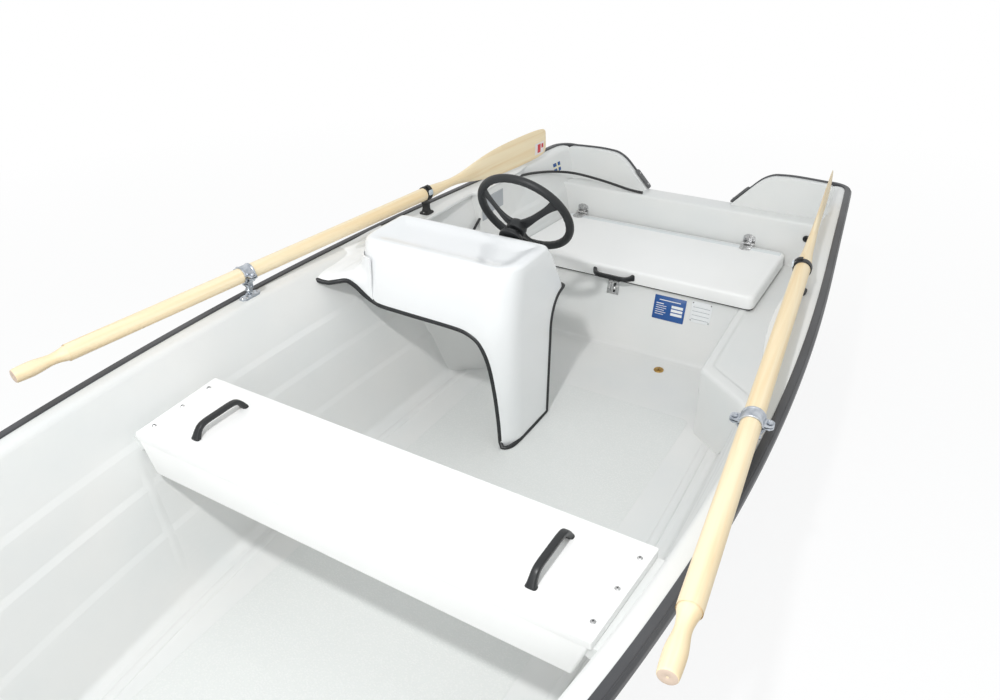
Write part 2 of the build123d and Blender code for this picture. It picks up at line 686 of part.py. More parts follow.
def console_ring(z: float, aft: float, front: float, port: float, shrink: float) -> Face:
    """Level outline of the console with rounded corners, drawn in by shrink."""
    x0, x1 = aft + shrink, front - shrink
    y0, y1 = CONSOLE_STARBOARD + shrink, port - shrink
    front_round, aft_round = CONSOLE_ROUND - shrink, max(CONSOLE_AFT_ROUND - shrink, 4)
    points = []
    for x, y, radius, first in ((x1, y0, front_round, 270), (x1, y1, front_round, 0),
                                (x0, y1, aft_round, 90), (x0, y0, aft_round, 180)):
        centre_x = x - radius if x == x1 else x + radius
        centre_y = y - radius if y == y1 else y + radius
        for step in range(4):
            angle = math.radians(first + 30 * step)
            points.append(Vector(from_transom(centre_x + radius * math.cos(angle)),
                                 centre_y + radius * math.sin(angle), z))
    return Face(Wire.make_polygon(points, close=True))


def console_solid(shrink: float) -> Part:
    """Console's outer form, drawn in by shrink on every wall but the foot."""
    foot = console_ring(SOLE_Z + FIT, LEG_AFT - 8, CONSOLE_FRONT_FOOT, CONSOLE_PORT_FOOT, shrink)
    waist = console_ring(ARCH_Z, LEG_AFT, CONSOLE_FRONT_LOW, CONSOLE_PORT_TOP, shrink)
    hip = console_ring(ARCH_Z, dash_x(ARCH_Z), CONSOLE_FRONT_LOW, CONSOLE_PORT_TOP, shrink)
    top = console_ring(CONSOLE_TOP - shrink, dash_x(CONSOLE_TOP - shrink), CONSOLE_FRONT_TOP,
                       CONSOLE_PORT_TOP, shrink)
    return Part() + loft([foot, waist], ruled=True) + loft([hip, top], ruled=True)


def under_front(grow: float) -> Part:
    """Space under the front's arch and beside the leg, grown by an amount."""
    leg = CONSOLE_PORT_FOOT - LEG_RETURN + grow
    bottom, top = SOLE_Z - 10, ARCH_Z + grow
    outline = [(-800, bottom), (-800, top), (leg - 150, top), (leg - 80, top - 10), (leg - 35, top - 40),
               (leg - 10, top - 100), (leg, top - 200), (leg, bottom)]
    face = Face(Wire.make_polygon([Vector(from_transom(900), y, z) for y, z in outline], close=True))
    return Part() + extrude(face, amount=650, dir=(1, 0, 0))


def behind_leg(grow: float) -> Part:
    """Space aft of the leg and below the dash, grown by an amount."""
    aft, low = dash_x(DASH_EDGE) - 60, SOLE_Z - 10
    outline = [(aft, low), (LEG_AFT + grow, low), (LEG_AFT + 8 + grow, DASH_EDGE - 90 + grow),
               (LEG_AFT - 26 + grow, DASH_EDGE - 28 + grow), (LEG_AFT - 70 + grow, DASH_EDGE + grow),
               (aft, DASH_EDGE + grow)]
    return side_prism(outline, -800, 0)


def console() -> tuple:
    """Hollow console shell and the edging along its open lower edges."""
    shell = console_solid(0) - console_solid(CONSOLE_WALL)
    tray_low = CONSOLE_TOP - TRAY_DEPTH
    sizes = (dash_x(CONSOLE_TOP), CONSOLE_FRONT_TOP, CONSOLE_PORT_TOP)
    shell += Part() + extrude(console_ring(tray_low, *sizes, TRAY_RIM), amount=TRAY_DEPTH, dir=(0, 0, 1))
    hollow = console_ring(tray_low + CONSOLE_WALL, *sizes, TRAY_RIM + CONSOLE_WALL)
    shell -= Part() + extrude(hollow, amount=TRAY_DEPTH, dir=(0, 0, 1))
    shell -= under_front(0) + behind_leg(0)
    edging = under_front(TRIM) + behind_leg(TRIM)
    leg_inner = CONSOLE_PORT_FOOT - LEG_RETURN - 40
    edging += box(LEG_AFT - 100, CONSOLE_FRONT_LOW + 100, leg_inner, 0, 0, SOLE_Z + FIT + TRIM)
    return shell - edging, shell & edging


console_shell, console_trim = console()
wing_outline = [(CONSOLE_AFT_TOP, CONSOLE_STARBOARD - FIT), (CONSOLE_FRONT_LOW, CONSOLE_STARBOARD - FIT),
                (WING_FRONT, CONSOLE_STARBOARD - 80), (WING_FRONT, -station(WING_FRONT)["sheer_y"]),
                (CONSOLE_AFT_TOP, -station(WING_FRONT)["sheer_y"])]
wing_top = station(CONSOLE_AFT_TOP)["sheer_z"] - FIT
save(console_shell, "console_shell")
save(console_trim, "console_trim")
save(COCKPIT & plan_prism(wing_outline, wing_top - WING_DEPTH, wing_top), "console_wing")

# ---- Helm ---------------------------------------------------------------------------------------
HUB_STAND = ((CONSOLE_AFT_TOP - WHEEL_AT[0]) * math.sin(RAKE)
             + (WHEEL_AT[2] - CONSOLE_TOP) * math.cos(RAKE)) - FIT   # dash face to the rim's plane
RIM_RADIUS = (WHEEL - WHEEL_RIM) / 2


def helm_place(shape):
    """Set a shape whose +Z is the steering shaft's outer end at the rim's centre."""
    x, y, z = WHEEL_AT
    return turned(shape, x, y, z, about_y=-WHEEL_RAKE)


save(helm_place(Pos(0, 0, -HUB_STAND + BEZEL_DEPTH / 2) * Cylinder(BEZEL / 2, BEZEL_DEPTH)), "helm_bezel")
hub_middle = -HUB_SET - HUB_DEPTH / 2
shaft_length = HUB_STAND - BEZEL_DEPTH - FIT - HUB_SET - HUB_DEPTH
hub = Pos(0, 0, hub_middle) * Cylinder(HUB / 2, HUB_DEPTH)
hub += Pos(0, 0, -HUB_SET - HUB_DEPTH - shaft_length / 2) * Cylinder(WHEEL_SHAFT / 2, shaft_length)
spoke_length = math.hypot(RIM_RADIUS, hub_middle)
spoke_tilt = math.degrees(math.atan2(-hub_middle, RIM_RADIUS))
for index in range(3):
    arm = Rot(0, -spoke_tilt, 0) * Box(spoke_length, SPOKE_WIDTH, SPOKE)
    arm = Pos(RIM_RADIUS / 2, 0, hub_middle / 2) * arm
    hub += Rot(0, 0, 180 + 120 * index) * arm
rim = Torus(RIM_RADIUS, WHEEL_RIM / 2)
save(helm_place(hub - rim), "wheel_spokes")
save(helm_place(rim), "wheel_rim")

# ---- Oars and rowlocks --------------------------------------------------------------------------


def oar() -> Part:
    """Oar along X with the clamp at X 0, grip towards +X, blade upright towards -X."""
    radius, neck = OAR_SHAFT / 2, OAR_NECK / 2
    tip = OAR_INBOARD - OAR_LENGTH
    root = tip + BLADE_LENGTH
    shaft_end = root + OAR_TAPER
    shaft_length = OAR_INBOARD - GRIP_LENGTH - shaft_end
    shaft = Pos(shaft_end + shaft_length / 2, 0, 0) * Rot(0, 90, 0) * Cylinder(radius, shaft_length)
    grip = Pos(OAR_INBOARD - GRIP_LENGTH / 2, 0, 0) * Rot(0, 90, 0) * Cylinder(GRIP / 2, GRIP_LENGTH)
    shaft += Pos(root + OAR_TAPER / 2, 0, 0) * Rot(0, 90, 0) * Cone(neck, radius, OAR_TAPER)
    half = BLADE_WIDTH / 2
    upper = [(0.0, 0.7), (0.04, 0.92), (0.17, 1.0), (0.42, 0.97), (0.6, 0.84), (0.74, 0.6), (0.87, 0.34)]
    upper = [(tip + along * BLADE_LENGTH, share * half) for along, share in upper] + [(root, neck)]
    outline = upper + [(x, -z) for x, z in reversed(upper)]
    face = Face(Wire.make_polygon([Vector(x, -BLADE / 2, z) for x, z in outline], close=True))
    blade = Part() + extrude(face, amount=BLADE, dir=(0, 1, 0))
    taper = Pos(root - 90, 0, 0) * Rot(0, 90, 0) * Cone(6, neck, 180)
    return shaft + grip + blade + taper


def oar_set(side: int, name: str) -> None:
    """One oar with its clamp, fork, socket and stowing strap."""
    def place(shape):
        return turned(shape, OAR_CLAMP_X, side * OAR_CLAMP_Y, OAR_Z, about_z=side * OAR_TOE)

    save(place(oar()), f"oar_{name}")
    outer = OAR_SHAFT / 2 + CLAMP_WALL
    ring = Rot(0, 90, 0) * (Cylinder(outer, CLAMP_WIDTH) - Cylinder(OAR_SHAFT / 2 + FIT, CLAMP_WIDTH))
    lugs = Box(CLAMP_WIDTH, 2 * (OAR_SHAFT / 2 + CLAMP_LUG), 9)
    lugs -= Rot(0, 90, 0) * Cylinder(OAR_SHAFT / 2 + 2, CLAMP_WIDTH + 2)
    save(place(ring + lugs), f"oar_clamp_{name}")
    inner = outer + FIT
    cradle = Rot(0, 90, 0) * (Cylinder(inner + FORK_WALL, 16) - Cylinder(inner, 18))
    cradle -= Pos(0, 0, 50 - 5) * Box(40, 120, 100)
    top = station(OAR_CLAMP_X)["sheer_z"]
    reach = OAR_Z - inner - top + SOCKET_TUBE - 4
    pin = Pos(0, 0, -inner - 1 - reach / 2) * Cylinder(PIN / 2, reach)
    collar = Pos(0, 0, -(OAR_Z - top - SOCKET_PLATE - FIT) + 5) * Cylinder(11, 10)
    save(place(cradle + pin + collar), f"rowlock_fork_{name}")
    plate = turned(Box(74, 27, SOCKET_PLATE), OAR_CLAMP_X, side * OAR_CLAMP_Y, top + SOCKET_PLATE / 2)
    tube = Cylinder(SOCKET_OUTER / 2, SOCKET_TUBE)
    tube = turned(tube, OAR_CLAMP_X, side * OAR_CLAMP_Y, top - SOCKET_TUBE / 2)
    bore = turned(Cylinder(PIN / 2 + FIT, 200), OAR_CLAMP_X, side * OAR_CLAMP_Y, top)
    save(plate + tube - bore, f"rowlock_socket_{name}")

    back = OAR_CLAMP_X - STRAP_X
    strap = Rot(0, 90, 0) * (Cylinder(OAR_SHAFT / 2 + 4, 22) - Cylinder(OAR_SHAFT / 2 + FIT, 24))
    save(place(Pos(-back / math.cos(math.radians(OAR_TOE)), 0, 0) * strap), f"oar_strap_{name}")
    y = OAR_CLAMP_Y - back * math.tan(math.radians(OAR_TOE))
    sheer = station(STRAP_X)["sheer_z"]
    y0, y1 = sorted((side * (y - 18), side * (y + 30)))
    foot = box(STRAP_X - 24, STRAP_X + 24, y0, y1, sheer, sheer + 6)
    y0, y1 = sorted((side * (y - 16), side * (y + 16)))
    post = box(STRAP_X - 11, STRAP_X + 11, y0, y1, sheer, OAR_Z - OAR_SHAFT / 2 - 4 - 5)
    save(foot + post, f"oar_holder_{name}")


both_sides(oar_set)

# ---- Small fittings -----------------------------------------------------------------------------
for fitting, thick, near, far, low, high in PANEL_FITTINGS:
    save(on_panel(FIT, FIT + thick, near, far, BENCH_Z - low, BENCH_Z - high), fitting)


def duct_face(x: float) -> float:
    """Y of the starboard duct's inner face at a place from the transom."""
    part = (x - POD_AFT) / (POD_FRONT - POD_AFT)
    return -(POD_AFT_Y + part * (POD_FRONT_Y - POD_AFT_Y))


label_aft, label_front = duct_face(LABEL_AFT) + FIT, duct_face(LABEL_FRONT) + FIT
label = [(LABEL_AFT, label_aft), (LABEL_FRONT, label_front), (LABEL_FRONT, label_front + PLATE),
         (LABEL_AFT, label_aft + PLATE)]
save(plan_prism(label, LABEL_LOW, LABEL_HIGH), "side_label")

drain_z = SOLE_Z + FIT + DRAIN_HEIGHT / 2
save(turned(Cylinder(DRAIN / 2, DRAIN_HEIGHT), *DRAIN_AT, drain_z), "drain_plug")
grommet = Rot(0, 90, 0) * (Cylinder(GROMMET / 2, 6) - Cylinder(GROMMET_HOLE / 2, 8))
save(turned(grommet, TRANSOM_CORE + FIT + 3, *GROMMET_AT), "transom_grommet")
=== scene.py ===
"""Looks of an open clinker dinghy: hull, rails, seats, locker, console, oars and fittings.

Sizes are millimetres and fore-and-aft places are measured from the transom's aft face, as a boat
builder gives them. The function boat turns them into the frame's metres.
"""
from __future__ import annotations

import json
import logging
import math
from dataclasses import dataclass, field
from enum import Enum
from typing import Callable, Iterable, Sequence

import bmesh
import bpy
import numpy as np
from mathutils import Matrix, Vector


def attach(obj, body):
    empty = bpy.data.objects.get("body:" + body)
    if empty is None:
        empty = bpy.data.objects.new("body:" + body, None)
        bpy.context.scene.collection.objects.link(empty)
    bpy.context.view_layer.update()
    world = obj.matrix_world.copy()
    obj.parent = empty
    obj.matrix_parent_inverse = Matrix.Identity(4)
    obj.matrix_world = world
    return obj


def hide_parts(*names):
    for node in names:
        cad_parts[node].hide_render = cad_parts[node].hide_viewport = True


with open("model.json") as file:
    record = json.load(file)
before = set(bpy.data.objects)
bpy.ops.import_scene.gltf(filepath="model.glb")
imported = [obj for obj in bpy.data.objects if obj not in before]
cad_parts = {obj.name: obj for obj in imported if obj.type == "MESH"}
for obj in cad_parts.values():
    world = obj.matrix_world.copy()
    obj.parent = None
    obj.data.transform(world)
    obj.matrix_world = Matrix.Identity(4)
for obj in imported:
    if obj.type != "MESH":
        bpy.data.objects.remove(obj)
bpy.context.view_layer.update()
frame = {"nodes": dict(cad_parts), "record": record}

log = logging.getLogger("dinghy")
LENGTH = 4350.0

Place = tuple[float, float, float]
Flat = tuple[float, float]
Piece = bpy.types.Object
Socket = bpy.types.NodeSocket


class Side(Enum):
    """A side of the boat and the sign of its Y."""

    PORT = 1
    STARBOARD = -1

    @property
    def label(self) -> str:
        """Name used in node and piece names."""
        return self.name.lower()


def boat(x: float, y: float, z: float) -> Vector:
    """Frame place in metres of a place given in millimetres from the transom.

    Args:
        x: Distance forward of the transom's aft face.
        y: Distance to port of the centreline.
        z: Height above the waterline.

    Returns:
        The place in the frame.
    """
    return Vector(((x - LENGTH / 2) / 1000, y / 1000, z / 1000))


# ---- Meshes --------------------------------------------------------------------------------------


def linked(name: str, data: bpy.types.ID) -> Piece:
    """Make an object and put it in the scene.

    Args:
        name: Name of the object.
        data: Its mesh, curve, lamp or camera.

    Returns:
        The new object.
    """
    obj = bpy.data.objects.new(name, data)
    bpy.context.scene.collection.objects.link(obj)
    return obj


def mesh_object(name: str, places: Iterable[Place], faces: Iterable[Sequence[int]]) -> Piece:
    """Make a closed mesh whose doubles are merged and whose faces point outwards.

    Args:
        name: Name of the piece.
        places: Corners in millimetres from the transom.
        faces: Corner numbers of each face.

    Returns:
        The new object.
    """
    mesh = bpy.data.meshes.new(name)
    mesh.from_pydata([boat(*place) for place in places], [], [list(face) for face in faces])
    work = bmesh.new()
    work.from_mesh(mesh)
    bmesh.ops.remove_doubles(work, verts=work.verts, dist=1e-5)
    bmesh.ops.recalc_face_normals(work, faces=work.faces)
    work.to_mesh(mesh)
    work.free()
    return linked(name, mesh)


def lofted(name: str, rows: Sequence[Sequence[Place]], ring: bool = True, caps: bool = True,
           looped: bool = False) -> Piece:
    """Join rows of places into one skin.

    Args:
        name: Name of the piece.
        rows: Rows with the same number of places each.
        ring: Whether each row closes on itself.
        caps: Whether the first and last rows are filled.
        looped: Whether the last row joins the first.

    Returns:
        The new object.
    """
    count = len(rows[0])
    faces = []
    for row in range(len(rows) if looped else len(rows) - 1):
        base, over = row * count, (row + 1) % len(rows) * count
        for step in range(count if ring else count - 1):
            after = (step + 1) % count
            faces.append((base + step, base + after, over + after, over + step))
    if caps and not looped:
        last = (len(rows) - 1) * count
        faces += [tuple(range(count)), tuple(range(last, last + count))]
    return mesh_object(name, [place for row in rows for place in row], faces)


def rounded(corners: Sequence[tuple[float, float, float]], steps: int = 4,
            closed: bool = False) -> list[Flat]:
    """Round the corners of a flat outline, with the same number of points whatever its shape.

    Args:
        corners: Rows of the two coordinates and the corner's radius.
        steps: Arc divisions of each rounded corner.
        closed: Whether the outline closes on itself.

    Returns:
        The outline's points.
    """
    result = []
    count = len(corners)
    for index, (a, b, radius) in enumerate(corners):
        if radius <= 0 or (not closed and index in (0, count - 1)):
            result.append((a, b))
            continue
        here = Vector((a, b))
        back = Vector(corners[index - 1][:2]) - here
        on = Vector(corners[(index + 1) % count][:2]) - here
        half = max(back.angle(on, math.pi), 1e-3) / 2
        reach = min(radius / math.tan(half), 0.48 * back.length, 0.48 * on.length)
        start, end = here + back.normalized() * reach, here + on.normalized() * reach
        for step in range(steps + 1):
            t = step / steps
            point = start * (1 - t) ** 2 + here * 2 * t * (1 - t) + end * t * t
            result.append((point.x, point.y))
    return result


def slab(name: str, outline: Sequence[Flat], low: float, high: float, across: str = "z") -> Piece:
    """Push a flat outline along one axis into a solid.

    Args:
        name: Name of the piece.
        outline: The outline in the other two axes, in their order.
        low: Where the solid starts along the axis.
        high: Where it ends.
        across: The axis, x, y or z.

    Returns:
        The new object.
    """
    turns = {"x": (2, 0, 1), "y": (0, 2, 1), "z": (0, 1, 2)}[across]
    return lofted(name, [[tuple((a, b, level)[turn] for turn in turns) for a, b in outline]
                         for level in (low, high)])


def block(name: str, x: Flat, y: Flat, z: Flat) -> Piece:
    """Solid between limits."""
    return slab(name, [(x[0], y[0]), (x[1], y[0]), (x[1], y[1]), (x[0], y[1])], z[0], z[1])


def turned(name: str, profile: Sequence[Flat], at: Place, axis: Place, count: int = 32) -> Piece:
    """Turn a profile about an axis, as on a lathe.

    Args:
        name: Name of the piece.
        profile: Rows of distance along the axis and radius.
        at: Where the axis starts.
        axis: Its direction.
        count: Divisions round it.

    Returns:
        The new object.
    """
    along = Vector(axis).normalized()
    side = along.orthogonal().normalized()
    other = along.cross(side)
    rows = []
    for distance, radius in profile:
        row = []
        for step in range(count):
            angle = 2 * math.pi * step / count
            out = side * math.cos(angle) + other * math.sin(angle)
            row.append(tuple(Vector(at) + along * distance + out * radius))
        rows.append(row)
    return lofted(name, rows)


def fair(points: Sequence[Sequence[float]], steps: int = 6, closed: bool = False) -> list[tuple[float, ...]]:
    """Fair curve through control rows of any width.

    Args:
        points: The rows that the curve passes.
        steps: Divisions of each stretch.
        closed: Whether the curve returns to its first row.

    Returns:
        Rows along the curve.
    """
    rows = [np.array(point, float) for point in points]
    count = len(rows)
    result = []
    for index in range(count if closed else count - 1):
        if closed:
            a, b, c, d = (rows[(index + shift) % count] for shift in (-1, 0, 1, 2))
        else:
            b, c = rows[index], rows[index + 1]
            a = rows[index - 1] if index else 2 * b - c
            d = rows[index + 2] if index + 2 < count else 2 * c - b
        for step in range(steps):
            t = step / steps
            result.append(tuple(0.5 * (2 * b + (c - a) * t + (2 * a - 5 * b + 4 * c - d) * t ** 2
                                       + (3 * b - a - 3 * c + d) * t ** 3)))
    if not closed:
        result.append(tuple(rows[-1]))
    return result


def heading(spots: Sequence[Vector], index: int) -> Vector:
    """Direction of a path at one of its places, from the place before to the one after."""
    return spots[min(index + 1, len(spots) - 1)] - spots[max(index - 1, 0)]


def swept(name: str, path: Sequence[Place], profile: Callable[[float], Sequence[Flat]],
          up: Place = (0.0, 0.0, 1.0)) -> Piece:
    """Carry a profile along a path.

    Args:
        name: Name of the piece.
        path: Places along the middle.
        profile: Gives the outline, sideways and upwards, at a share of the path.
        up: Direction that the profile's second coordinate leans to.

    Returns:
        The new object.
    """
    spots = [Vector(place) for place in path]
    rows = []
    for index, spot in enumerate(spots):
        run = heading(spots, index).normalized()
        out = run.cross(Vector(up)).normalized()
        rise = out.cross(run)
        outline = profile(index / (len(spots) - 1))
        rows.append([tuple(spot + out * a + rise * b) for a, b in outline])
    return lofted(name, rows)


def oval(width: float, height: float, count: int = 20, power: float = 2.0) -> list[Flat]:
    """Oval or rounded-box outline round its middle.

    Args:
        width: Full width.
        height: Full height.
        count: Number of points.
        power: 2 for an oval, more for a boxier form.

    Returns:
        The outline's points.
    """
    points = []
    for step in range(count):
        angle = 2 * math.pi * step / count
        c, s = math.cos(angle), math.sin(angle)
        points.append((math.copysign(abs(c) ** (2 / power), c) * width / 2,
                       math.copysign(abs(s) ** (2 / power), s) * height / 2))
    return points


def settled(obj: Piece) -> Piece:
    """Turn a piece with modifiers into its plain mesh.

    Args:
        obj: The piece.

    Returns:
        The same piece, without modifiers.
    """
    bpy.context.view_layer.update()
    shape = obj.evaluated_get(bpy.context.evaluated_depsgraph_get())
    mesh = bpy.data.meshes.new_from_object(shape)
    obj.modifiers.clear()
    obj.data = mesh
    return obj


def smooth(obj: Piece, crease: float = 35.0) -> Piece:
    """Shade a piece smooth, with its edges past an angle kept sharp.

    Args:
        obj: The piece.
        crease: Edges that turn more than this stay sharp, in degrees.

    Returns:
        The piece.
    """
    work = bmesh.new()
    work.from_mesh(obj.data)
    limit = math.radians(crease)
    for edge in work.edges:
        edge.smooth = len(edge.link_faces) == 2 and edge.calc_face_angle(0.0) < limit
    for face in work.faces:
        face.smooth = True
    work.to_mesh(obj.data)
    work.free()
    return obj


def softened(obj: Piece, width: float, segments: int = 3, angle: float = 30.0) -> Piece:
    """Round the edges of a piece.

    Args:
        obj: The piece.
        width: Size of the round in millimetres.
        segments: Divisions of the round.
        angle: Edges that turn more than this are rounded.

    Returns:
        The piece, shaded smooth.
    """
    bevel = obj.modifiers.new("round", "BEVEL")
    bevel.width = width / 1000
    bevel.segments = segments
    bevel.limit_method = "ANGLE"
    bevel.angle_limit = math.radians(angle)
    bevel.use_clamp_overlap = True
    return smooth(settled(obj))


def trimmed(obj: Piece, cutters: Sequence[Piece]) -> Piece:
    """Cut solids out of a piece and drop them.

    Args:
        obj: The piece.
        cutters: The solids, which are used up.

    Returns:
        The cut piece.
    """
    for cutter in cutters:
        cut = obj.modifiers.new("cut", "BOOLEAN")
        cut.operation = "DIFFERENCE"
        cut.solver = "EXACT"
        cut.object = cutter
    settled(obj)
    for cutter in cutters:
        bpy.data.objects.remove(cutter)
    return obj


def joined(name: str, pieces: Sequence[Piece]) -> Piece:
    """Make one piece of several, each with the finishes it already wears.

    Args:
        name: Name of the new piece.
        pieces: The pieces, which are used up.

    Returns:
        The new object.
    """
    mesh = bpy.data.meshes.new(name)
    work = bmesh.new()
    for piece in pieces:
        start = len(mesh.materials)
        for material in piece.data.materials:
            mesh.materials.append(material)
        known = len(work.faces)
        work.from_mesh(piece.data)
        work.faces.ensure_lookup_table()
        for face in work.faces[known:]:
            face.material_index += start
        bpy.data.objects.remove(piece)
    work.to_mesh(mesh)
    work.free()
    return linked(name, mesh)


# ---- Finishes ------------------------------------------------------------------------------------


def colour(red: int, green: int, blue: int) -> tuple[float, float, float, float]:
    """Linear colour of a screen colour from 0 to 255.

    Args:
        red: Red part.
        green: Green part.
        blue: Blue part.

    Returns:
        The linear colour, with an alpha of 1.
    """
    def linear(value: int) -> float:
        """Linear part of one channel."""
        share = value / 255
        return share / 12.92 if share <= 0.04045 else ((share + 0.055) / 1.055) ** 2.4

    return linear(red), linear(green), linear(blue), 1.0


class Graph:
    """Adds nodes to a tree and joins them."""

    def __init__(self, tree: bpy.types.NodeTree) -> None:
        """Keep the tree that the nodes go into."""
        self.tree = tree

    def add(self, kind: str, inputs: dict | None = None, **settings: object) -> bpy.types.Node:
        """Add a node.

        Args:
            kind: Blender's name of the node type.
            inputs: Values or output sockets by input name or number.
            settings: Properties of the node.

        Returns:
            The node.
        """
        node = self.tree.nodes.new(kind)
        for key, value in settings.items():
            setattr(node, key, value)
        for key, value in (inputs or {}).items():
            if isinstance(value, Socket):
                self.tree.links.new(value, node.inputs[key])
            else:
                node.inputs[key].default_value = value
        return node

    def give(self, node: bpy.types.Node, **sockets: Socket) -> None:
        """Join sockets to a node's inputs by name, with _ for a space."""
        for label, socket in sockets.items():
            self.tree.links.new(socket, node.inputs[label.replace("_", " ")])

    def mix(self, share: object, first: object, second: object) -> Socket:
        """Blend two colours and return the result.

        Args:
            share: How much of the second shows.
            first: First colour.
            second: Second colour.

        Returns:
            The blended colour.
        """
        return self.add("ShaderNodeMix", {0: share, 6: first, 7: second}, data_type="RGBA").outputs[2]

    def math(self, operation: str, *values: object, clamp: bool = False) -> Socket:
        """Work out a value from sockets or numbers and return it."""
        node = self.add("ShaderNodeMath", dict(enumerate(values)), operation=operation, use_clamp=clamp)
        return node.outputs[0]

    def place(self) -> Socket:
        """Place on the piece, in metres of the frame."""
        return self.add("ShaderNodeTexCoord").outputs["Object"]

    def mapped(self, at: Socket, **how: object) -> Socket:
        """Turn or scale a place and return it."""
        return self.add("ShaderNodeMapping", {"Vector": at, **how}).outputs[0]

    def noise(self, at: Socket, scale: object, detail: float, **how: float) -> Socket:
        """Noise at a place, from 0 to 1."""
        inputs = {"Vector": at, "Scale": scale, "Detail": detail, **how}
        return self.add("ShaderNodeTexNoise", inputs).outputs["Fac"]

    def span(self, value: Socket, source: Flat, result: Flat) -> Socket:
        """Carry a value from one range to another and return it.

        Args:
            value: The value.
            source: Range that it comes from.
            result: Range that it goes to.

        Returns:
            The new value.
        """
        return self.add("ShaderNodeMapRange", dict(enumerate((value, *source, *result)))).outputs[0]


def group_tree(name: str, inputs: Sequence[tuple[str, str, object]],
               outputs: Sequence[tuple[str, str]]) -> tuple[Graph, bpy.types.Node, bpy.types.Node]:
    """Start a shader group with named sockets.

    Args:
        name: Name of the group.
        inputs: Rows of socket name, socket type and first value.
        outputs: Rows of socket name and socket type.

    Returns:
        The group's graph, its input node and its output node.
    """
    tree = bpy.data.node_groups.new(name, "ShaderNodeTree")
    for label, kind, value in inputs:
        socket = tree.interface.new_socket(label, in_out="INPUT", socket_type=f"NodeSocket{kind}")
        socket.default_value = value
    for label, kind in outputs:
        tree.interface.new_socket(label, in_out="OUTPUT", socket_type=f"NodeSocket{kind}")
    graph = Graph(tree)
    return graph, graph.add("NodeGroupInput"), graph.add("NodeGroupOutput")


SURFACE = (("Color", "Color"), ("Roughness", "Float"), ("Height", "Float"))


class Effects:
    """Shader groups that several finishes share."""

    def __init__(self) -> None:
        """Build the groups once."""
        self.mottle = self._mottle()
        self.scuff = self._scuff()
        self.grain = self._grain()

    def _mottle(self) -> bpy.types.NodeTree:
        """Soft unevenness of colour and gloss, with fine ripple in the surface.

        Returns:
            The group.
        """
        graph, given, result = group_tree("mottle",
                                          [("Scale", "Float", 6.0), ("Tint", "Color", (0.8, 0.8, 0.8, 1)),
                                           ("Shade", "Color", (0.7, 0.7, 0.7, 1)), ("Gloss", "Float", 0.2),
                                           ("Spread", "Float", 0.08), ("Fine", "Float", 90.0)], SURFACE)
        at = graph.place()
        broad = graph.noise(at, given.outputs["Scale"], 4.0)
        fine = graph.noise(at, given.outputs["Fine"], 3.0)
        share = graph.span(broad, (0.35, 0.7), (0.0, 1.0))
        shade = graph.mix(share, given.outputs["Tint"], given.outputs["Shade"])
        offset = graph.math("MULTIPLY", broad, given.outputs["Spread"])
        graph.give(result, Color=shade, Roughness=graph.math("ADD", offset, given.outputs["Gloss"]),
                   Height=fine)
        return graph.tree

    def _scuff(self) -> bpy.types.NodeTree:
        """Sparse scratches and rubbed spots, as a mask.

        Returns:
            The group.
        """
        graph, given, result = group_tree("scuff", [("Scale", "Float", 18.0), ("Amount", "Float", 0.4)],
                                          [("Mask", "Float")])
        at = graph.place()
        lines = graph.noise(graph.mapped(at, Scale=(1.0, 9.0, 5.0), Rotation=(0.2, 0.3, 0.5)),
                            given.outputs["Scale"], 6.0, Roughness=0.7)
        worn = graph.math("MULTIPLY", lines, graph.noise(at, 5.0, 2.0))
        mask = graph.span(worn, (0.33, 0.45), (0.0, 1.0))
        graph.give(result, Mask=graph.math("MULTIPLY", mask, given.outputs["Amount"]))
        return graph.tree

    def _grain(self) -> bpy.types.NodeTree:
        """Long wood grain that runs with a turned X axis.

        Returns:
            The group.
        """
        graph, given, result = group_tree("grain", [
            ("Turn", "Vector", (0.0, 0.0, 0.0)), ("Pale", "Color", (0.8, 0.7, 0.5, 1)),
            ("Dark", "Color", (0.6, 0.45, 0.25, 1))], SURFACE)
        along = graph.mapped(graph.place(), Rotation=given.outputs["Turn"])
        lines = graph.noise(graph.mapped(along, Scale=(1.6, 46.0, 46.0)), 1.0, 5.0, Roughness=0.55,
                            Distortion=0.6)
        fine = graph.noise(graph.mapped(along, Scale=(9.0, 420.0, 420.0)), 1.0, 2.0)
        share = graph.span(lines, (0.42, 0.72), (0.0, 1.0))
        shade = graph.mix(share, given.outputs["Pale"], given.outputs["Dark"])
        graph.give(result, Color=shade, Roughness=graph.span(fine, (0.3, 0.7), (0.42, 0.58)), Height=fine)
        return graph.tree


PATCHES, METAL_PATCHES, GRAINS = 3.5, 60.0, 170.0
RUBBED = 0.25


class Skin(Enum):
    """How a finish's surface is built up."""

    MOULDED = "moulded"
    METAL = "metal"
    TIMBER = "timber"
    GRIT = "grit"


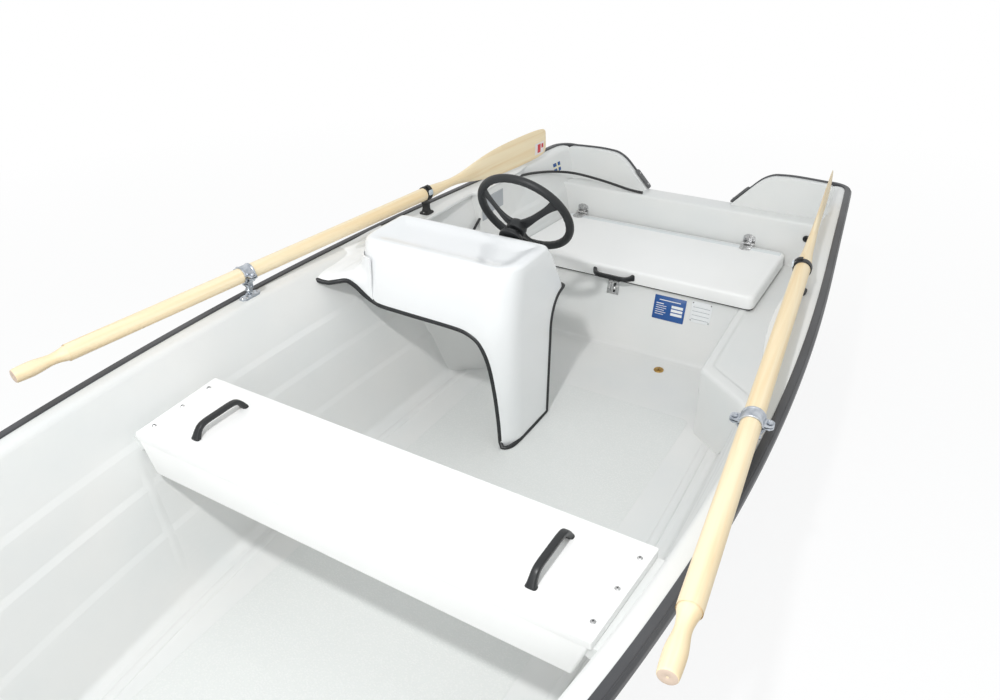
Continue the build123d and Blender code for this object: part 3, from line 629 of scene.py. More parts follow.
@dataclass(frozen=True)
class Finish:
    """One finish: its colours, gloss and surface.

    Attributes:
        name: Name of the material.
        tint: Main colour.
        shade: Colour of the deeper patches; on grit, painted shade in the hollows between the grains.
        gloss: Roughness at its smoothest.
        spread: How much the roughness varies.
        coat: Strength of the clear coat.
        ripple: Height of the fine ripple, in millimetres.
        fine: How fine the ripple is.
        scuffs: How strong the rubbed marks are.
        turn: Turn of the wood's grain, in radians.
        skin: How the surface is built up.
    """

    name: str
    tint: tuple[int, int, int]
    shade: tuple[int, int, int]
    gloss: float = 0.25
    spread: float = 0.1
    coat: float = 0.0
    ripple: float = 0.05
    fine: float = 90.0
    scuffs: float = 0.15
    turn: float = 0.0
    skin: Skin = Skin.MOULDED

    def build(self, effects: Effects) -> bpy.types.Material:
        """Build the material.

        Args:
            effects: The shared shader groups.

        Returns:
            The material.
        """
        material = bpy.data.materials.new(self.name)
        material.use_nodes = True
        material.diffuse_color = colour(*self.tint)
        graph = Graph(material.node_tree)
        shader = material.node_tree.nodes["Principled BSDF"]
        tint, shade = colour(*self.tint), colour(*self.shade)
        if self.skin is Skin.TIMBER:
            body = graph.add("ShaderNodeGroup", node_tree=effects.grain)
            given = {"Turn": (0.0, 0.0, self.turn), "Pale": tint, "Dark": shade}
        else:
            body = graph.add("ShaderNodeGroup", node_tree=effects.mottle)
            given = {"Tint": tint, "Shade": shade, "Gloss": self.gloss, "Spread": self.spread,
                     "Fine": self.fine, "Scale": METAL_PATCHES if self.skin is Skin.METAL else PATCHES}
        for label, value in given.items():
            body.inputs[label].default_value = value
        marks = graph.add("ShaderNodeGroup", node_tree=effects.scuff)
        marks.inputs["Amount"].default_value = self.scuffs
        mask, height, base = marks.outputs["Mask"], body.outputs["Height"], body.outputs["Color"]
        worn = tuple(min(1.0, part * 1.12 + 0.02) for part in tint[:3]) + (1.0,)
        # On grit the hollows between the grains take the darker colour: painted shade that follows the
        # relief, besides the bump.
        if self.skin is Skin.GRIT:
            cells = graph.add("ShaderNodeTexVoronoi", {"Vector": graph.place(), "Scale": GRAINS})
            height = graph.span(cells.outputs["Distance"], (0.1, 0.55), (1.0, 0.0))
            base = graph.mix(height, shade, tint)
        bump = graph.add("ShaderNodeBump", {"Height": height, "Distance": self.ripple / 1000,
                                            "Strength": 0.6})
        graph.give(shader, Base_Color=graph.mix(mask, base, worn), Normal=bump.outputs[0],
                   Roughness=graph.math("MULTIPLY_ADD", mask, RUBBED, body.outputs["Roughness"], clamp=True))
        shader.inputs["Metallic"].default_value = 1.0 if self.skin is Skin.METAL else 0.0
        shader.inputs["Coat Weight"].default_value = self.coat
        shader.inputs["Coat Roughness"].default_value = 0.08
        return material


GRAIN_TURN = math.radians(6.3)
FINISHES = (
    Finish("hull_gelcoat", (240, 241, 242), (232, 234, 236), 0.16, 0.08, 0.3, 0.03, 30.0, 0.12),
    Finish("liner_gelcoat", (232, 232, 230), (227, 229, 228), 0.24, 0.12, 0.2, 0.04, 45.0, 0.06),
    Finish("console_gelcoat", (246, 247, 248), (243, 245, 246), 0.17, 0.08, 0.3, 0.03, 30.0, 0.05),
    Finish("seat_gelcoat", (251, 251, 250), (248, 248, 247), 0.32, 0.12, 0.1, 0.05, 120.0, 0.06),
    Finish("sole_grit", (232, 233, 231), (226, 228, 226), 0.3, 0.13, 0.12, 0.45, 90.0, 0.08, skin=Skin.GRIT),
    Finish("rail_rubber", (72, 73, 76), (58, 59, 62), 0.36, 0.16, 0.0, 0.08, 160.0, 0.35),
    Finish("edge_rubber", (36, 38, 40), (28, 30, 32), 0.34, 0.15, 0.0, 0.08, 200.0, 0.3),
    Finish("cap_plastic", (96, 97, 98), (84, 85, 86), 0.4, 0.12, 0.0, 0.1, 260.0, 0.2),
    Finish("handle_plastic", (34, 36, 38), (26, 28, 30), 0.3, 0.14, 0.0, 0.12, 420.0, 0.3),
    Finish("wheel_foam", (36, 38, 40), (28, 30, 32), 0.42, 0.12, 0.0, 0.2, 500.0, 0.15),
    Finish("strap_rubber", (30, 31, 32), (22, 23, 24), 0.45, 0.15, 0.0, 0.1, 220.0, 0.25),
    Finish("cable_sheath", (34, 35, 36), (26, 27, 28), 0.35, 0.12, 0.0, 0.05, 200.0, 0.2),
    Finish("pine_port", (251, 234, 199), (241, 214, 168), 0.5, 0.1, 0.0, 0.12, 90.0, 0.1, -GRAIN_TURN,
           Skin.TIMBER),
    Finish("pine_starboard", (251, 234, 199), (241, 214, 168), 0.5, 0.1, 0.0, 0.12, 90.0, 0.1, GRAIN_TURN,
           Skin.TIMBER),
    Finish("pine_end", (226, 207, 190), (214, 190, 168), 0.6, 0.1, 0.0, 0.15, 300.0, 0.2),
    Finish("zinc", (203, 208, 214), (160, 167, 176), 0.24, 0.22, 0.0, 0.15, 120.0, 0.3, skin=Skin.METAL),
    Finish("stainless", (206, 206, 206), (176, 177, 178), 0.2, 0.15, 0.0, 0.05, 300.0, 0.3, skin=Skin.METAL),
    Finish("brass", (205, 170, 104), (160, 124, 66), 0.26, 0.2, 0.0, 0.1, 200.0, 0.4, skin=Skin.METAL),
    Finish("plate_blue", (18, 84, 156), (12, 68, 134), 0.24, 0.1, 0.4, 0.02, 200.0, 0.3),
    Finish("plate_white", (240, 242, 243), (232, 234, 235), 0.3, 0.1, 0.0, 0.03, 200.0, 0.1),
    Finish("label_grey", (176, 180, 184), (160, 164, 169), 0.34, 0.1, 0.0, 0.03, 200.0, 0.2),
    Finish("sticker_white", (246, 240, 238), (240, 232, 230), 0.3, 0.1, 0.1, 0.05, 100.0, 0.1),
    Finish("sticker_red", (214, 52, 62), (196, 40, 52), 0.3, 0.1, 0.1, 0.05, 100.0, 0.1),
    # Painted shade: a greyer strip that stands for the shade on the lid's rolled aft edge.
    Finish("lid_band", (231, 235, 237), (226, 230, 232), 0.3, 0.1, 0.1, 0.05, 120.0, 0.06),
    Finish("band_pale", (236, 232, 210), (228, 222, 196), 0.34, 0.1, 0.0, 0.03, 200.0, 0.2),
    Finish("buckle_white", (214, 222, 228), (196, 206, 214), 0.25, 0.1, 0.2, 0.05, 200.0, 0.2),
    # Painted shade: a near-black fill that stands for the shade inside slots, holes and screw crosses.
    Finish("dark_gap", (24, 25, 26), (18, 19, 20), 0.6, 0.1, 0.0, 0.05, 200.0, 0.0),
)


class Palette:
    """The built finishes by name."""

    def __init__(self) -> None:
        """Build every finish."""
        effects = Effects()
        self.materials = {finish.name: finish.build(effects) for finish in FINISHES}


PALETTE = Palette()


def wear(obj: Piece, finish: str) -> Piece:
    """Dress a whole piece in one finish.

    Args:
        obj: The piece.
        finish: Name of the finish.

    Returns:
        The piece.
    """
    obj.data.materials.clear()
    obj.data.materials.append(PALETTE.materials[finish])
    return obj


def moulded(name: str, rows: Sequence[Sequence[Place]], finish: str, crease: float = 35.0,
            **how: bool) -> Piece:
    """Join rows of places into one skin, dressed and shaded smooth.

    Args:
        name: Name of the piece.
        rows: Rows with the same number of places each.
        finish: Name of the finish.
        crease: Edges that turn more than this stay sharp.
        how: The ring, caps and looped of lofted.

    Returns:
        The piece.
    """
    return smooth(wear(lofted(name, rows, **how), finish), crease)


def place(obj: Piece, slot: str, *replaces: str, body: str = "boat") -> Piece:
    """Set a finished piece on its body.

    Args:
        obj: The piece, already dressed.
        slot: The record's finish slot; not used.
        replaces: The CAD nodes that it stands for.
        body: The body it moves with.

    Returns:
        The piece.
    """
    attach(obj, body)
    if replaces:
        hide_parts(*replaces)
    log.info("%s rides on %s, %d faces", obj.name, body, len(obj.data.polygons))
    return obj


# ---- Fastenings ----------------------------------------------------------------------------------


class ScrewTree:
    """Geometry nodes that set a screw head on each point, turned to the point's aim, with two dark bars of
    painted shade standing for its recessed cross.
    """

    def __init__(self) -> None:
        """Build the tree once."""
        self.tree = bpy.data.node_groups.new("screw_heads", "GeometryNodeTree")
        face = self.tree.interface
        face.new_socket("Geometry", in_out="INPUT", socket_type="NodeSocketGeometry")
        self.keys = [face.new_socket(label, in_out="INPUT", socket_type=f"NodeSocket{kind}").identifier
                     for label, kind in (("Head Radius", "Float"), ("Head Rise", "Float"), ("Sides", "Int"),
                                         ("Metal", "Material"), ("Recess", "Material"))]
        face.new_socket("Geometry", in_out="OUTPUT", socket_type="NodeSocketGeometry")
        graph = Graph(self.tree)
        given, result = graph.add("NodeGroupInput"), graph.add("NodeGroupOutput")
        radius, rise = given.outputs["Head Radius"], given.outputs["Head Rise"]
        head = graph.add("GeometryNodeMeshCone", {
            "Vertices": given.outputs["Sides"], "Radius Top": graph.math("MULTIPLY", radius, 0.62),
            "Radius Bottom": radius, "Depth": rise})
        size = graph.add("ShaderNodeCombineXYZ", {
            "X": graph.math("MULTIPLY", radius, 0.9), "Y": graph.math("MULTIPLY", radius, 0.2),
            "Z": graph.math("MULTIPLY", rise, 0.5)})
        # The cross is two dark bars set over the head: painted shade that stands for the screw's recessed
        # cross.
        slot = graph.add("GeometryNodeMeshCube", {"Size": size.outputs[0]})
        lift = graph.add("ShaderNodeCombineXYZ", {"Z": graph.math("MULTIPLY", rise, 0.8)})
        bars, whole = graph.add("GeometryNodeJoinGeometry"), graph.add("GeometryNodeJoinGeometry")
        for turn in (0.0, math.pi / 2):
            bar = graph.add("GeometryNodeTransform", {
                "Geometry": slot.outputs["Mesh"], "Translation": lift.outputs[0], "Rotation": (0, 0, turn)})
            self.tree.links.new(bar.outputs[0], bars.inputs[0])
        for shape, finish in ((head.outputs["Mesh"], "Metal"), (bars.outputs[0], "Recess")):
            part = graph.add("GeometryNodeSetMaterial",
                             {"Geometry": shape, "Material": given.outputs[finish]})
            self.tree.links.new(part.outputs[0], whole.inputs[0])
        aim = graph.add("GeometryNodeInputNamedAttribute", {"Name": "aim"}, data_type="FLOAT_VECTOR")
        turn = graph.add("FunctionNodeAlignRotationToVector", {"Vector": aim.outputs[0]}, axis="Z")
        points = graph.add("GeometryNodeMeshToPoints", {"Mesh": given.outputs["Geometry"]})
        heads = graph.add("GeometryNodeInstanceOnPoints", {
            "Points": points.outputs[0], "Instance": whole.outputs[0], "Rotation": turn.outputs[0]})
        real = graph.add("GeometryNodeRealizeInstances", {"Geometry": heads.outputs[0]})
        self.tree.links.new(real.outputs[0], result.inputs[0])

    def set(self, name: str, spots: Sequence[tuple[Place, Place]], radius: float = 4.0, rise: float = 2.0,
            sides: int = 20, metal: str = "stainless", recess: str = "dark_gap") -> Piece:
        """Set screw heads on a piece.

        Args:
            name: Name of the piece that they make together.
            spots: Rows of place and direction.
            radius: Radius of the heads.
            rise: Their height.
            sides: Divisions round them, 6 for a hexagon.
            metal: Their finish.
            recess: Finish of the cross, painted shade that stands for the screw's recessed cross.

        Returns:
            The plain mesh of all the heads.
        """
        mesh = bpy.data.meshes.new(name)
        mesh.from_pydata([boat(*spot) for spot, _ in spots], [], [])
        aims = mesh.attributes.new("aim", "FLOAT_VECTOR", "POINT")
        for index, (_, direction) in enumerate(spots):
            aims.data[index].vector = Vector(direction).normalized()
        obj = linked(name, mesh)
        nodes = obj.modifiers.new("heads", "NODES")
        nodes.node_group = self.tree
        for key, value in zip(self.keys, (radius / 1000, rise / 1000, sides, PALETTE.materials[metal],
                                          PALETTE.materials[recess])):
            nodes[key] = value
        return smooth(settled(obj), 30.0)


SCREWS = ScrewTree()


# ---- Lines of the hull ---------------------------------------------------------------------------


@dataclass(frozen=True)
class Section:
    """Sizes of the hull across one place: half-breadths and heights."""

    sheer_y: float
    sheer_z: float
    chine_y: float
    chine_z: float
    keel_z: float


def natural_curve(xs: Sequence[float], ys: Sequence[float]) -> Callable[[float], float]:
    """Fair curve through knots that runs out straight at its ends.

    Args:
        xs: Places of the knots, rising.
        ys: Their values.

    Returns:
        The curve as a function of the place.
    """
    x, y = np.array(xs, float), np.array(ys, float)
    gap = np.diff(x)
    count = len(x)
    sums, right = np.eye(count), np.zeros(count)
    for index in range(1, count - 1):
        sums[index, index - 1:index + 2] = gap[index - 1], 2 * (gap[index - 1] + gap[index]), gap[index]
        right[index] = 3 * ((y[index + 1] - y[index]) / gap[index]
                            - (y[index] - y[index - 1]) / gap[index - 1])
    bend = np.linalg.solve(sums, right)

    def at(place: float) -> float:
        """Value of the curve at a place.

        Args:
            place: Where the curve is read.

        Returns:
            Its value.
        """
        index = int(np.clip(np.searchsorted(x, place) - 1, 0, count - 2))
        t = place - x[index]
        slope = (y[index + 1] - y[index]) / gap[index] - gap[index] * (2 * bend[index] + bend[index + 1]) / 3
        return float(y[index] + slope * t + bend[index] * t ** 2
                     + (bend[index + 1] - bend[index]) / (3 * gap[index]) * t ** 3)

    return at


def steady_curve(xs: Sequence[float], ys: Sequence[float]) -> Callable[[float], float]:
    """Curve through knots that never runs past them.

    Args:
        xs: Places of the knots, rising.
        ys: Their values.

    Returns:
        The curve as a function of the place.
    """
    x, y = np.array(xs, float), np.array(ys, float)
    gap = np.diff(x)
    rise = np.diff(y) / gap
    slope = np.concatenate([[rise[0]], np.zeros(len(x) - 2), [rise[-1]]])
    for index in range(1, len(x) - 1):
        if rise[index - 1] * rise[index] > 0:
            first, second = 2 * gap[index] + gap[index - 1], gap[index] + 2 * gap[index - 1]
            slope[index] = (first + second) / (first / rise[index - 1] + second / rise[index])

    def at(place: float) -> float:
        """Value of the curve at a place.

        Args:
            place: Where the curve is read.

        Returns:
            Its value.
        """
        index = int(np.clip(np.searchsorted(x, place) - 1, 0, len(x) - 2))
        h = gap[index]
        t = min(max((place - x[index]) / h, 0.0), 1.0)
        return float((1 + 2 * t) * (1 - t) ** 2 * y[index] + t * (1 - t) ** 2 * h * slope[index]
                     + t ** 2 * (3 - 2 * t) * y[index + 1] + t ** 2 * (t - 1) * h * slope[index + 1])

    return at


@dataclass(frozen=True)
class HullLines:
    """Faired lines of the hull and the outlines that follow from them.

    Attributes:
        rows: Station share, sheer half-breadth and height, chine half-breadth and height, keel line.
        land: Step of a clinker land.
        wall: Outer laminate, core and liner together.
        corner: How far forward the transom's rounded corner reaches.
        corner_in: How far the corner draws the side in.
    """

    rows: tuple[tuple[float, ...], ...] = (
        (0.0000, 612.0, 598.0, 503.0, -30.0, -118.0),
        (0.0138, 620.0, 598.0, 506.0, -30.0, -118.0),
        (0.1150, 674.0, 598.0, 545.0, -34.0, -124.0),
        (0.2530, 743.0, 598.0, 580.0, -38.0, -128.0),
        (0.4140, 777.0, 598.0, 596.0, -38.0, -130.0),
        (0.5520, 743.0, 605.0, 566.0, -30.0, -128.0),
        (0.6780, 648.0, 624.0, 480.0, -8.0, -120.0),
        (0.7930, 500.0, 652.0, 330.0, 34.0, -98.0),
        (0.8850, 335.0, 680.0, 190.0, 110.0, -40.0),
        (0.9494, 180.0, 702.0, 88.0, 220.0, 80.0),
        (0.9862, 70.0, 716.0, 36.0, 400.0, 290.0),
        (1.0000, 24.5, 719.0, 12.6, 520.0, 452.0),
    )
    land: float = 7.0
    land_shares: tuple[float, ...] = (0.30, 0.53, 0.72)
    garboard: float = 0.52
    wall: float = 40.0
    sole: float = 10.0
    corner: float = 60.0
    corner_in: float = 34.0
    curves: dict[str, Callable[[float], float]] = field(default_factory=dict)

    def __post_init__(self) -> None:
        """Fair the lines once."""
        xs = [row[0] * LENGTH for row in self.rows]
        for index, key in enumerate(("sheer_y", "sheer_z", "chine_y", "chine_z", "keel_z"), 1):
            kind = steady_curve if key in ("chine_z", "keel_z") else natural_curve
            self.curves[key] = kind(xs, [row[index] for row in self.rows])

    def at(self, x: float) -> Section:
        """Section at a place.

        Args:
            x: Place along the boat.

        Returns:
            The hull's sizes there, with the transom's rounded corner.
        """
        values = {key: curve(x) for key, curve in self.curves.items()}
        if x < self.corner:
            pull = 1 - math.sqrt(max(0.0, 1 - (1 - max(x, 0.0) / self.corner) ** 2))
            values["sheer_y"] -= self.corner_in * pull
            values["chine_y"] -= 0.8 * self.corner_in * pull
        return Section(**values)

    def outer(self, x: float) -> list[Flat]:
        """Rounded outer outline of one side, keel to sheer.

        Args:
            x: Place along the boat.

        Returns:
            Rows of half-breadth and height.
        """
        s = self.at(x)
        y, z = self.garboard * s.chine_y, s.keel_z + self.garboard * (s.chine_z - s.keel_z)
        corners = [(0.0, s.keel_z, 0.0), (y - 1, z + self.land / 2, 3.0), (y, z - self.land / 2, 3.0),
                   (s.chine_y - self.land, s.chine_z, 3.0), (s.chine_y, s.chine_z - self.land / 4, 3.0)]
        for share in self.land_shares:
            y = s.chine_y + share * (s.sheer_y - s.chine_y)
            z = s.chine_z + share * (s.sheer_z - s.chine_z)
            corners += [(y - self.land, z, 3.0), (y, z - self.land / 4, 3.0)]
        return rounded(corners + [(s.sheer_y, s.sheer_z - 3.5, 0.0)])

    def inner_corners(self, x: float) -> list[tuple[float, float, float]]:
        """Corners of the cockpit's outline on one side, from the middle of the sole to the sheer.

        Args:
            x: Place along the boat.

        Returns:
            Rows of half-breadth, height and radius.
        """
        s = self.at(x)
        chine_y, sheer_y = max(s.chine_y - self.wall, 14.0), max(s.sheer_y - self.wall, 24.0)
        sole_y = max(chine_y - 26, 6.0)
        rise = (s.chine_z - s.keel_z) / max(s.chine_y - 15, 4.0)
        sole_z = max(self.sole, s.keel_z + 15 + sole_y * rise + 16)
        chine_z = max(sole_z + 8, s.chine_z + 24)
        corners = [(0.0, sole_z, 0.0), (sole_y, sole_z, 16.0), (chine_y, chine_z, 26.0)]
        for share in self.land_shares:
            y = chine_y + share * (sheer_y - chine_y)
            z = chine_z + share * (s.sheer_z - chine_z)
            corners += [(y - self.land - 1, z - 12, 26.0), (y + 1, z + 5, 22.0)]
        return corners + [(sheer_y, s.sheer_z, 34.0), (s.sheer_y - 0.6, s.sheer_z, 0.0)]

    def inner(self, x: float) -> list[Flat]:
        """Rounded cockpit outline of one side, middle of the sole to the outer edge of the sheer."""
        return rounded(self.inner_corners(x), 5)

    def inner_y(self, x: float, z: float) -> float:
        """Half-breadth of the cockpit at a place and height.

        Args:
            x: Place along the boat.
            z: Height.

        Returns:
            The half-breadth.
        """
        outline = self.inner(x)
        for (y0, z0), (y1, z1) in zip(outline, outline[1:]):
            if z0 <= z <= z1 and z1 > z0:
                return y0 + (z - z0) / (z1 - z0) * (y1 - y0)
        return outline[-1][0]

    def middle(self, x: float) -> list[Flat]:
        """Hidden joint surface of one side, keel to sheer.

        Args:
            x: Place along the boat.

        Returns:
            Rows of half-breadth and height.
        """
        s = self.at(x)
        off = 15.0
        return [(0.0, s.keel_z + off), (max(s.chine_y - off, 3.0), s.chine_z + off * 0.6),
                (s.sheer_y - 8, s.sheer_z - 4)]


LINES = HullLines()
BEDDED = 4.0


def across(half: Sequence[Flat]) -> list[Flat]:
    """Both sides of a half outline, starboard end to port end."""
    return [(-y, z) for y, z in reversed(half) if y > 0.01] + list(half)


def stretch(first: float, last: float, step: float = 45.0, fine: float = 6.0,
            ends: float = 60.0) -> list[float]:
    """Places along the boat, closer together near the two ends.

    Args:
        first: Where the places start.
        last: Where they end.
        step: Distance between them.
        fine: Distance between them near the ends.
        ends: How far the ends reach.

    Returns:
        The places, rising.
    """
    places = [first]
    while places[-1] < last - 1e-6:
        near = min(places[-1] - first, last - places[-1])
        places.append(min(last, places[-1] + (fine if near < ends else step)))
    return places


@dataclass(frozen=True)
class Hull:
    """Outer hull with its lands, the liner, the keel and the stem's eye."""

    nose: float = 22.0
    keel_half: float = 18.0
    keel_depth: float = 26.0
    keel_ends: Flat = (150.0, 3850.0)
    liner_ends: Flat = (18.0, 4262.0)

    def build(self) -> None:
        """Build and place the hull's pieces."""
        place(self._shell(), "hull_white", "outer_hull", "stem_cap")
        place(self._liner(), "liner_grey", "inner_liner")
        place(self._keel(), "hull_white", "keel_strip")
        place(self._eye(), "stainless", "bow_eye")

    def _shell(self) -> Piece:
        """Outer laminate from transom to stem, with a rounded nose.

        Returns:
            The dressed piece.
        """
        rows = []
        for x in stretch(0.0, LENGTH):
            draw = max(0.0, (x - (LENGTH - self.nose)) / self.nose)
            narrow = 1 - 0.5 * draw ** 3
            outline = across(LINES.outer(x)) + across(LINES.middle(x))[::-1]
            rows.append([(x, y * narrow, z) for y, z in outline])
        return moulded("hull_shell", rows, "hull_gelcoat", 50.0)

    def _liner(self) -> Piece:
        """Cockpit liner with its lands, sole and rolled gunwale.

        Returns:
            The dressed piece.
        """
        rows = [[(x, y, z) for y, z in across(LINES.inner(x)) + across(LINES.middle(x))[::-1]]
                for x in stretch(*self.liner_ends)]
        return moulded("liner", rows, "liner_gelcoat", 50.0)

    def _keel(self) -> Piece:
        """Rubbing keel with rounded lower edges, faded into the forefoot.

        Returns:
            The dressed piece.
        """
        rows = []
        first, last = self.keel_ends
        for x in stretch(first, last):
            z = LINES.at(x).keel_z + 1.5
            depth = self.keel_depth * min(1.0, 0.25 + min(x - first, last - x) / 120)
            corners = [(-self.keel_half - 6, z, 0), (-self.keel_half, z - depth, 7),
                       (self.keel_half, z - depth, 7), (self.keel_half + 6, z, 0)]
            rows.append([(x, y, level) for y, level in rounded(corners, 4, True)])
        return moulded("keel", rows, "hull_gelcoat", 40.0)

    def _eye(self) -> Piece:
        """Towing eye with its plate and screws.

        Returns:
            The dressed piece.
        """
        x, z = LENGTH + 0.3, 520.0
        plate = softened(block("eye_plate", (x - 3, x + 5), (-15, 15), (z - 29, z + 29)), 2.5)
        ring = []
        for step in range(25):
            angle = math.radians(-112 + 224 * step / 24)
            ring.append((x + 22 + 12 * math.cos(angle), 0.0, z + 12.5 * math.sin(angle)))
        ring = [(x, 0.0, z - 14)] + ring + [(x, 0.0, z + 14)]
        lug = swept("eye_ring", fair(ring, 2), lambda share: oval(9, 9, 16), (0, 1, 0))
        spots = [((x + 5, 0, z + dz), (1, 0, 0)) for dz in (-23, 23)]
        return joined("stem_eye", [wear(plate, "stainless"), wear(smooth(lug), "stainless"),
                                   SCREWS.set("eye_screws", spots)])


@dataclass(frozen=True)
class Transom:
    """Transom board with raised quarters, the thick core below the notch and its ledge."""

    board: float = 24.0
    core: float = 90.0
    notch_half: float = 187.0
    notch_z: float = 457.0
    quarter: tuple[Flat, ...] = ((187.0, 457.0), (253.0, 529.0), (296.0, 572.0), (335.0, 594.0),
                                 (372.0, 600.0), (426.0, 602.5), (500.0, 600.5), (556.0, 598.0))

    def top(self) -> list[Flat]:
        """Faired top edge of a quarter, notch to corner."""
        first = list(self.quarter[:2])
        return first[:1] + fair(self.quarter[1:], 4)

    def build(self) -> None:
        """Build and place the transom."""
        place(self._board(), "liner_grey", "transom")

    def _board(self) -> Piece:
        """Board and core as one moulding.

        Returns:
            The dressed piece.
        """
        lower = [(y, z) for y, z in LINES.outer(0.0) if z < 560]
        half = lower[:-1] + [(LINES.at(0.0).sheer_y - 3, 590.0)] + self.top()[:0:-1]
        half.append((self.notch_half - 1.5, self.notch_z - 1.6))
        outline = [(y * 0.997, z) for y, z in half]
        board = slab("board", across(outline), -1.5, self.board, "x")
        board = softened(board, 5.0, 4, 40.0)
        rows = []
        edge = [(self.core - back, drop) for back, drop in ((12, 0), (8, 0.6), (4.5, 2.3), (1.7, 5.2),
                                                            (0, 9.5))]
        for x, drop in [(1.5, 2.5), (3, 0.9), (6, 0)] + edge:
            inner = [(y, z) for y, z in LINES.inner(x) if z < 430]
            y = LINES.inner_y(x, self.notch_z)
            inner += [(y + 4, self.notch_z - 12 - drop), (y + 6, self.notch_z - drop)]
            rows.append([(x, a * 1.003, b if b > 0 else b) for a, b in across(inner)])
        core = smooth(lofted("core", rows), 40.0)
        return joined("transom_moulding", [wear(board, "liner_gelcoat"), wear(core, "liner_gelcoat")])


ON_CORE = Transom().core + 0.3


@dataclass(frozen=True)
class Rails:
    """Rubbing strake round each side, its end caps and their screws."""

    width: float = 25.0
    height: float = 32.0
    above: float = 5.0
    thin: float = 14.0
    thin_height: float = 30.0
    bend: float = 62.0
    bend_radius: float = 61.0
    bend_z: float = 598.0

    def build(self) -> None:
        """Build and place both rails."""
        for side in Side:
            place(self._rail(side), "rail_black", f"rub_rail_{side.label}")
            place(self._cap(side), "label_grey", f"rail_end_cap_{side.label}")

    def _profile(self, width: float, height: float) -> list[Flat]:
        """Outline of the strake: outwards and upwards from the sheer, with a groove along its top.

        Args:
            width: How far it stands out.
            height: Its full height.

        Returns:
            The closed outline.
        """
        low, top = self.above - height, self.above
        corners = [(-0.6, low, 2), (width * 0.7, low, 5), (width, low + 7, 7), (width, top - 8, 8),
                   (width * 0.78, top, 4), (width * 0.72, top - 1.6, 1), (width * 0.66, top, 1),
                   (-0.6, top, 2.5)]
        return rounded(corners, 3, True)

    def _path(self, side: Side) -> list[tuple[float, ...]]:
        """Rows of place, width and height from the stem aft, round the corner and to the notch.

        Args:
            side: Side of the boat.

        Returns:
            Rows of the three coordinates, width and height.
        """
        rows = []
        for x in reversed(stretch(self.bend, LENGTH - 2, 40.0, 12.0, 90.0)):
            s = LINES.at(x)
            rows.append((x, s.sheer_y, s.sheer_z, self.width, self.height))
        corner, radius = LINES.at(self.bend).sheer_y, self.bend_radius
        for step in range(1, 9):
            angle = math.pi / 2 * step / 8
            fade = step / 8
            rows.append((self.bend - radius * math.sin(angle), corner - radius * (1 - math.cos(angle)),
                         self.bend_z + fade,
                         self.width + (self.thin + 2 - self.width) * fade,
                         self.height + (self.thin_height - self.height) * fade))
        for y, z in reversed(Transom().top()):
            if y < corner - 66:
                rows.append((0.0, y, z, self.thin, self.thin_height))
        return [(x, side.value * y, z, width, height) for x, y, z, width, height in rows]

    def _rail(self, side: Side) -> Piece:
        """Strake of one side, carried along its path with its groove.

        Args:
            side: Side of the boat.

        Returns:
            The dressed piece.
        """
        path = self._path(side)
        first = path[0]
        path = [(LENGTH + 0.3, side.value * 0.3, first[2], self.width, self.height),
                (LENGTH + 0.3, side.value * 14.0, first[2], self.width, self.height)] + path
        rows, spots = [], [Vector(row[:3]) for row in path]
        for index, (spot, row) in enumerate(zip(spots, path)):
            run = heading(spots, index)
            out = Vector((run.y, -run.x, 0)) * side.value
            if index == 0:
                out = Vector((1, 0, 0))
            if abs(run.x) < 1e-6 and index > 4:
                out = Vector((-1, 0, 0))
            out.normalize()
            up = out.cross(run).normalized()
            up = up if up.z > 0 else -up
            rows.append([tuple(spot + out * a + up * b) for a, b in self._profile(row[3], row[4])])
        return moulded(f"rail_{side.label}", rows, "rail_rubber", 50.0)

    def _cap(self, side: Side) -> Piece:
        """Moulded end cap on the notch's slope, with two screws.

        Args:
            side: Side of the boat.

        Returns:
            The dressed piece.
        """
        (y0, z0), (y1, z1) = Transom().quarter[:2]
        run = Vector((0, side.value * (y1 - y0), z1 - z0)).normalized()
        up = Vector((0, -side.value * run.z, side.value * run.y))
        rows = []
        for along, shrink in ((-2, 0.55), (1, 0.85), (5, 1.0), (84, 1.0), (91, 0.86), (95, 0.5)):
            corners = [(-14.6, -6, 1), (-14.6, 12.5, 4), (11, 12.5, 4), (11, 4, 1)]
            base = Vector((0, side.value * y0, z0)) + run * along
            middle = Vector((-2, 0, 0)) + up * 5
            rows.append([tuple(base + middle + (Vector((a, 0, 0)) + up * b - middle) * shrink)
                         for a, b in rounded(corners, 3, True)])
        cap = moulded("cap", rows, "cap_plastic", 40.0)
        spots = []
        for along in (16, 74):
            spot = Vector((0, side.value * y0, z0)) + run * along + up * 12 + Vector((-2, 0, 0))
            spots.append((tuple(spot), tuple(up)))
        screws = SCREWS.set("cap_screws", spots, 4.2, 2.2)
        return joined(f"rail_cap_{side.label}", [cap, screws])


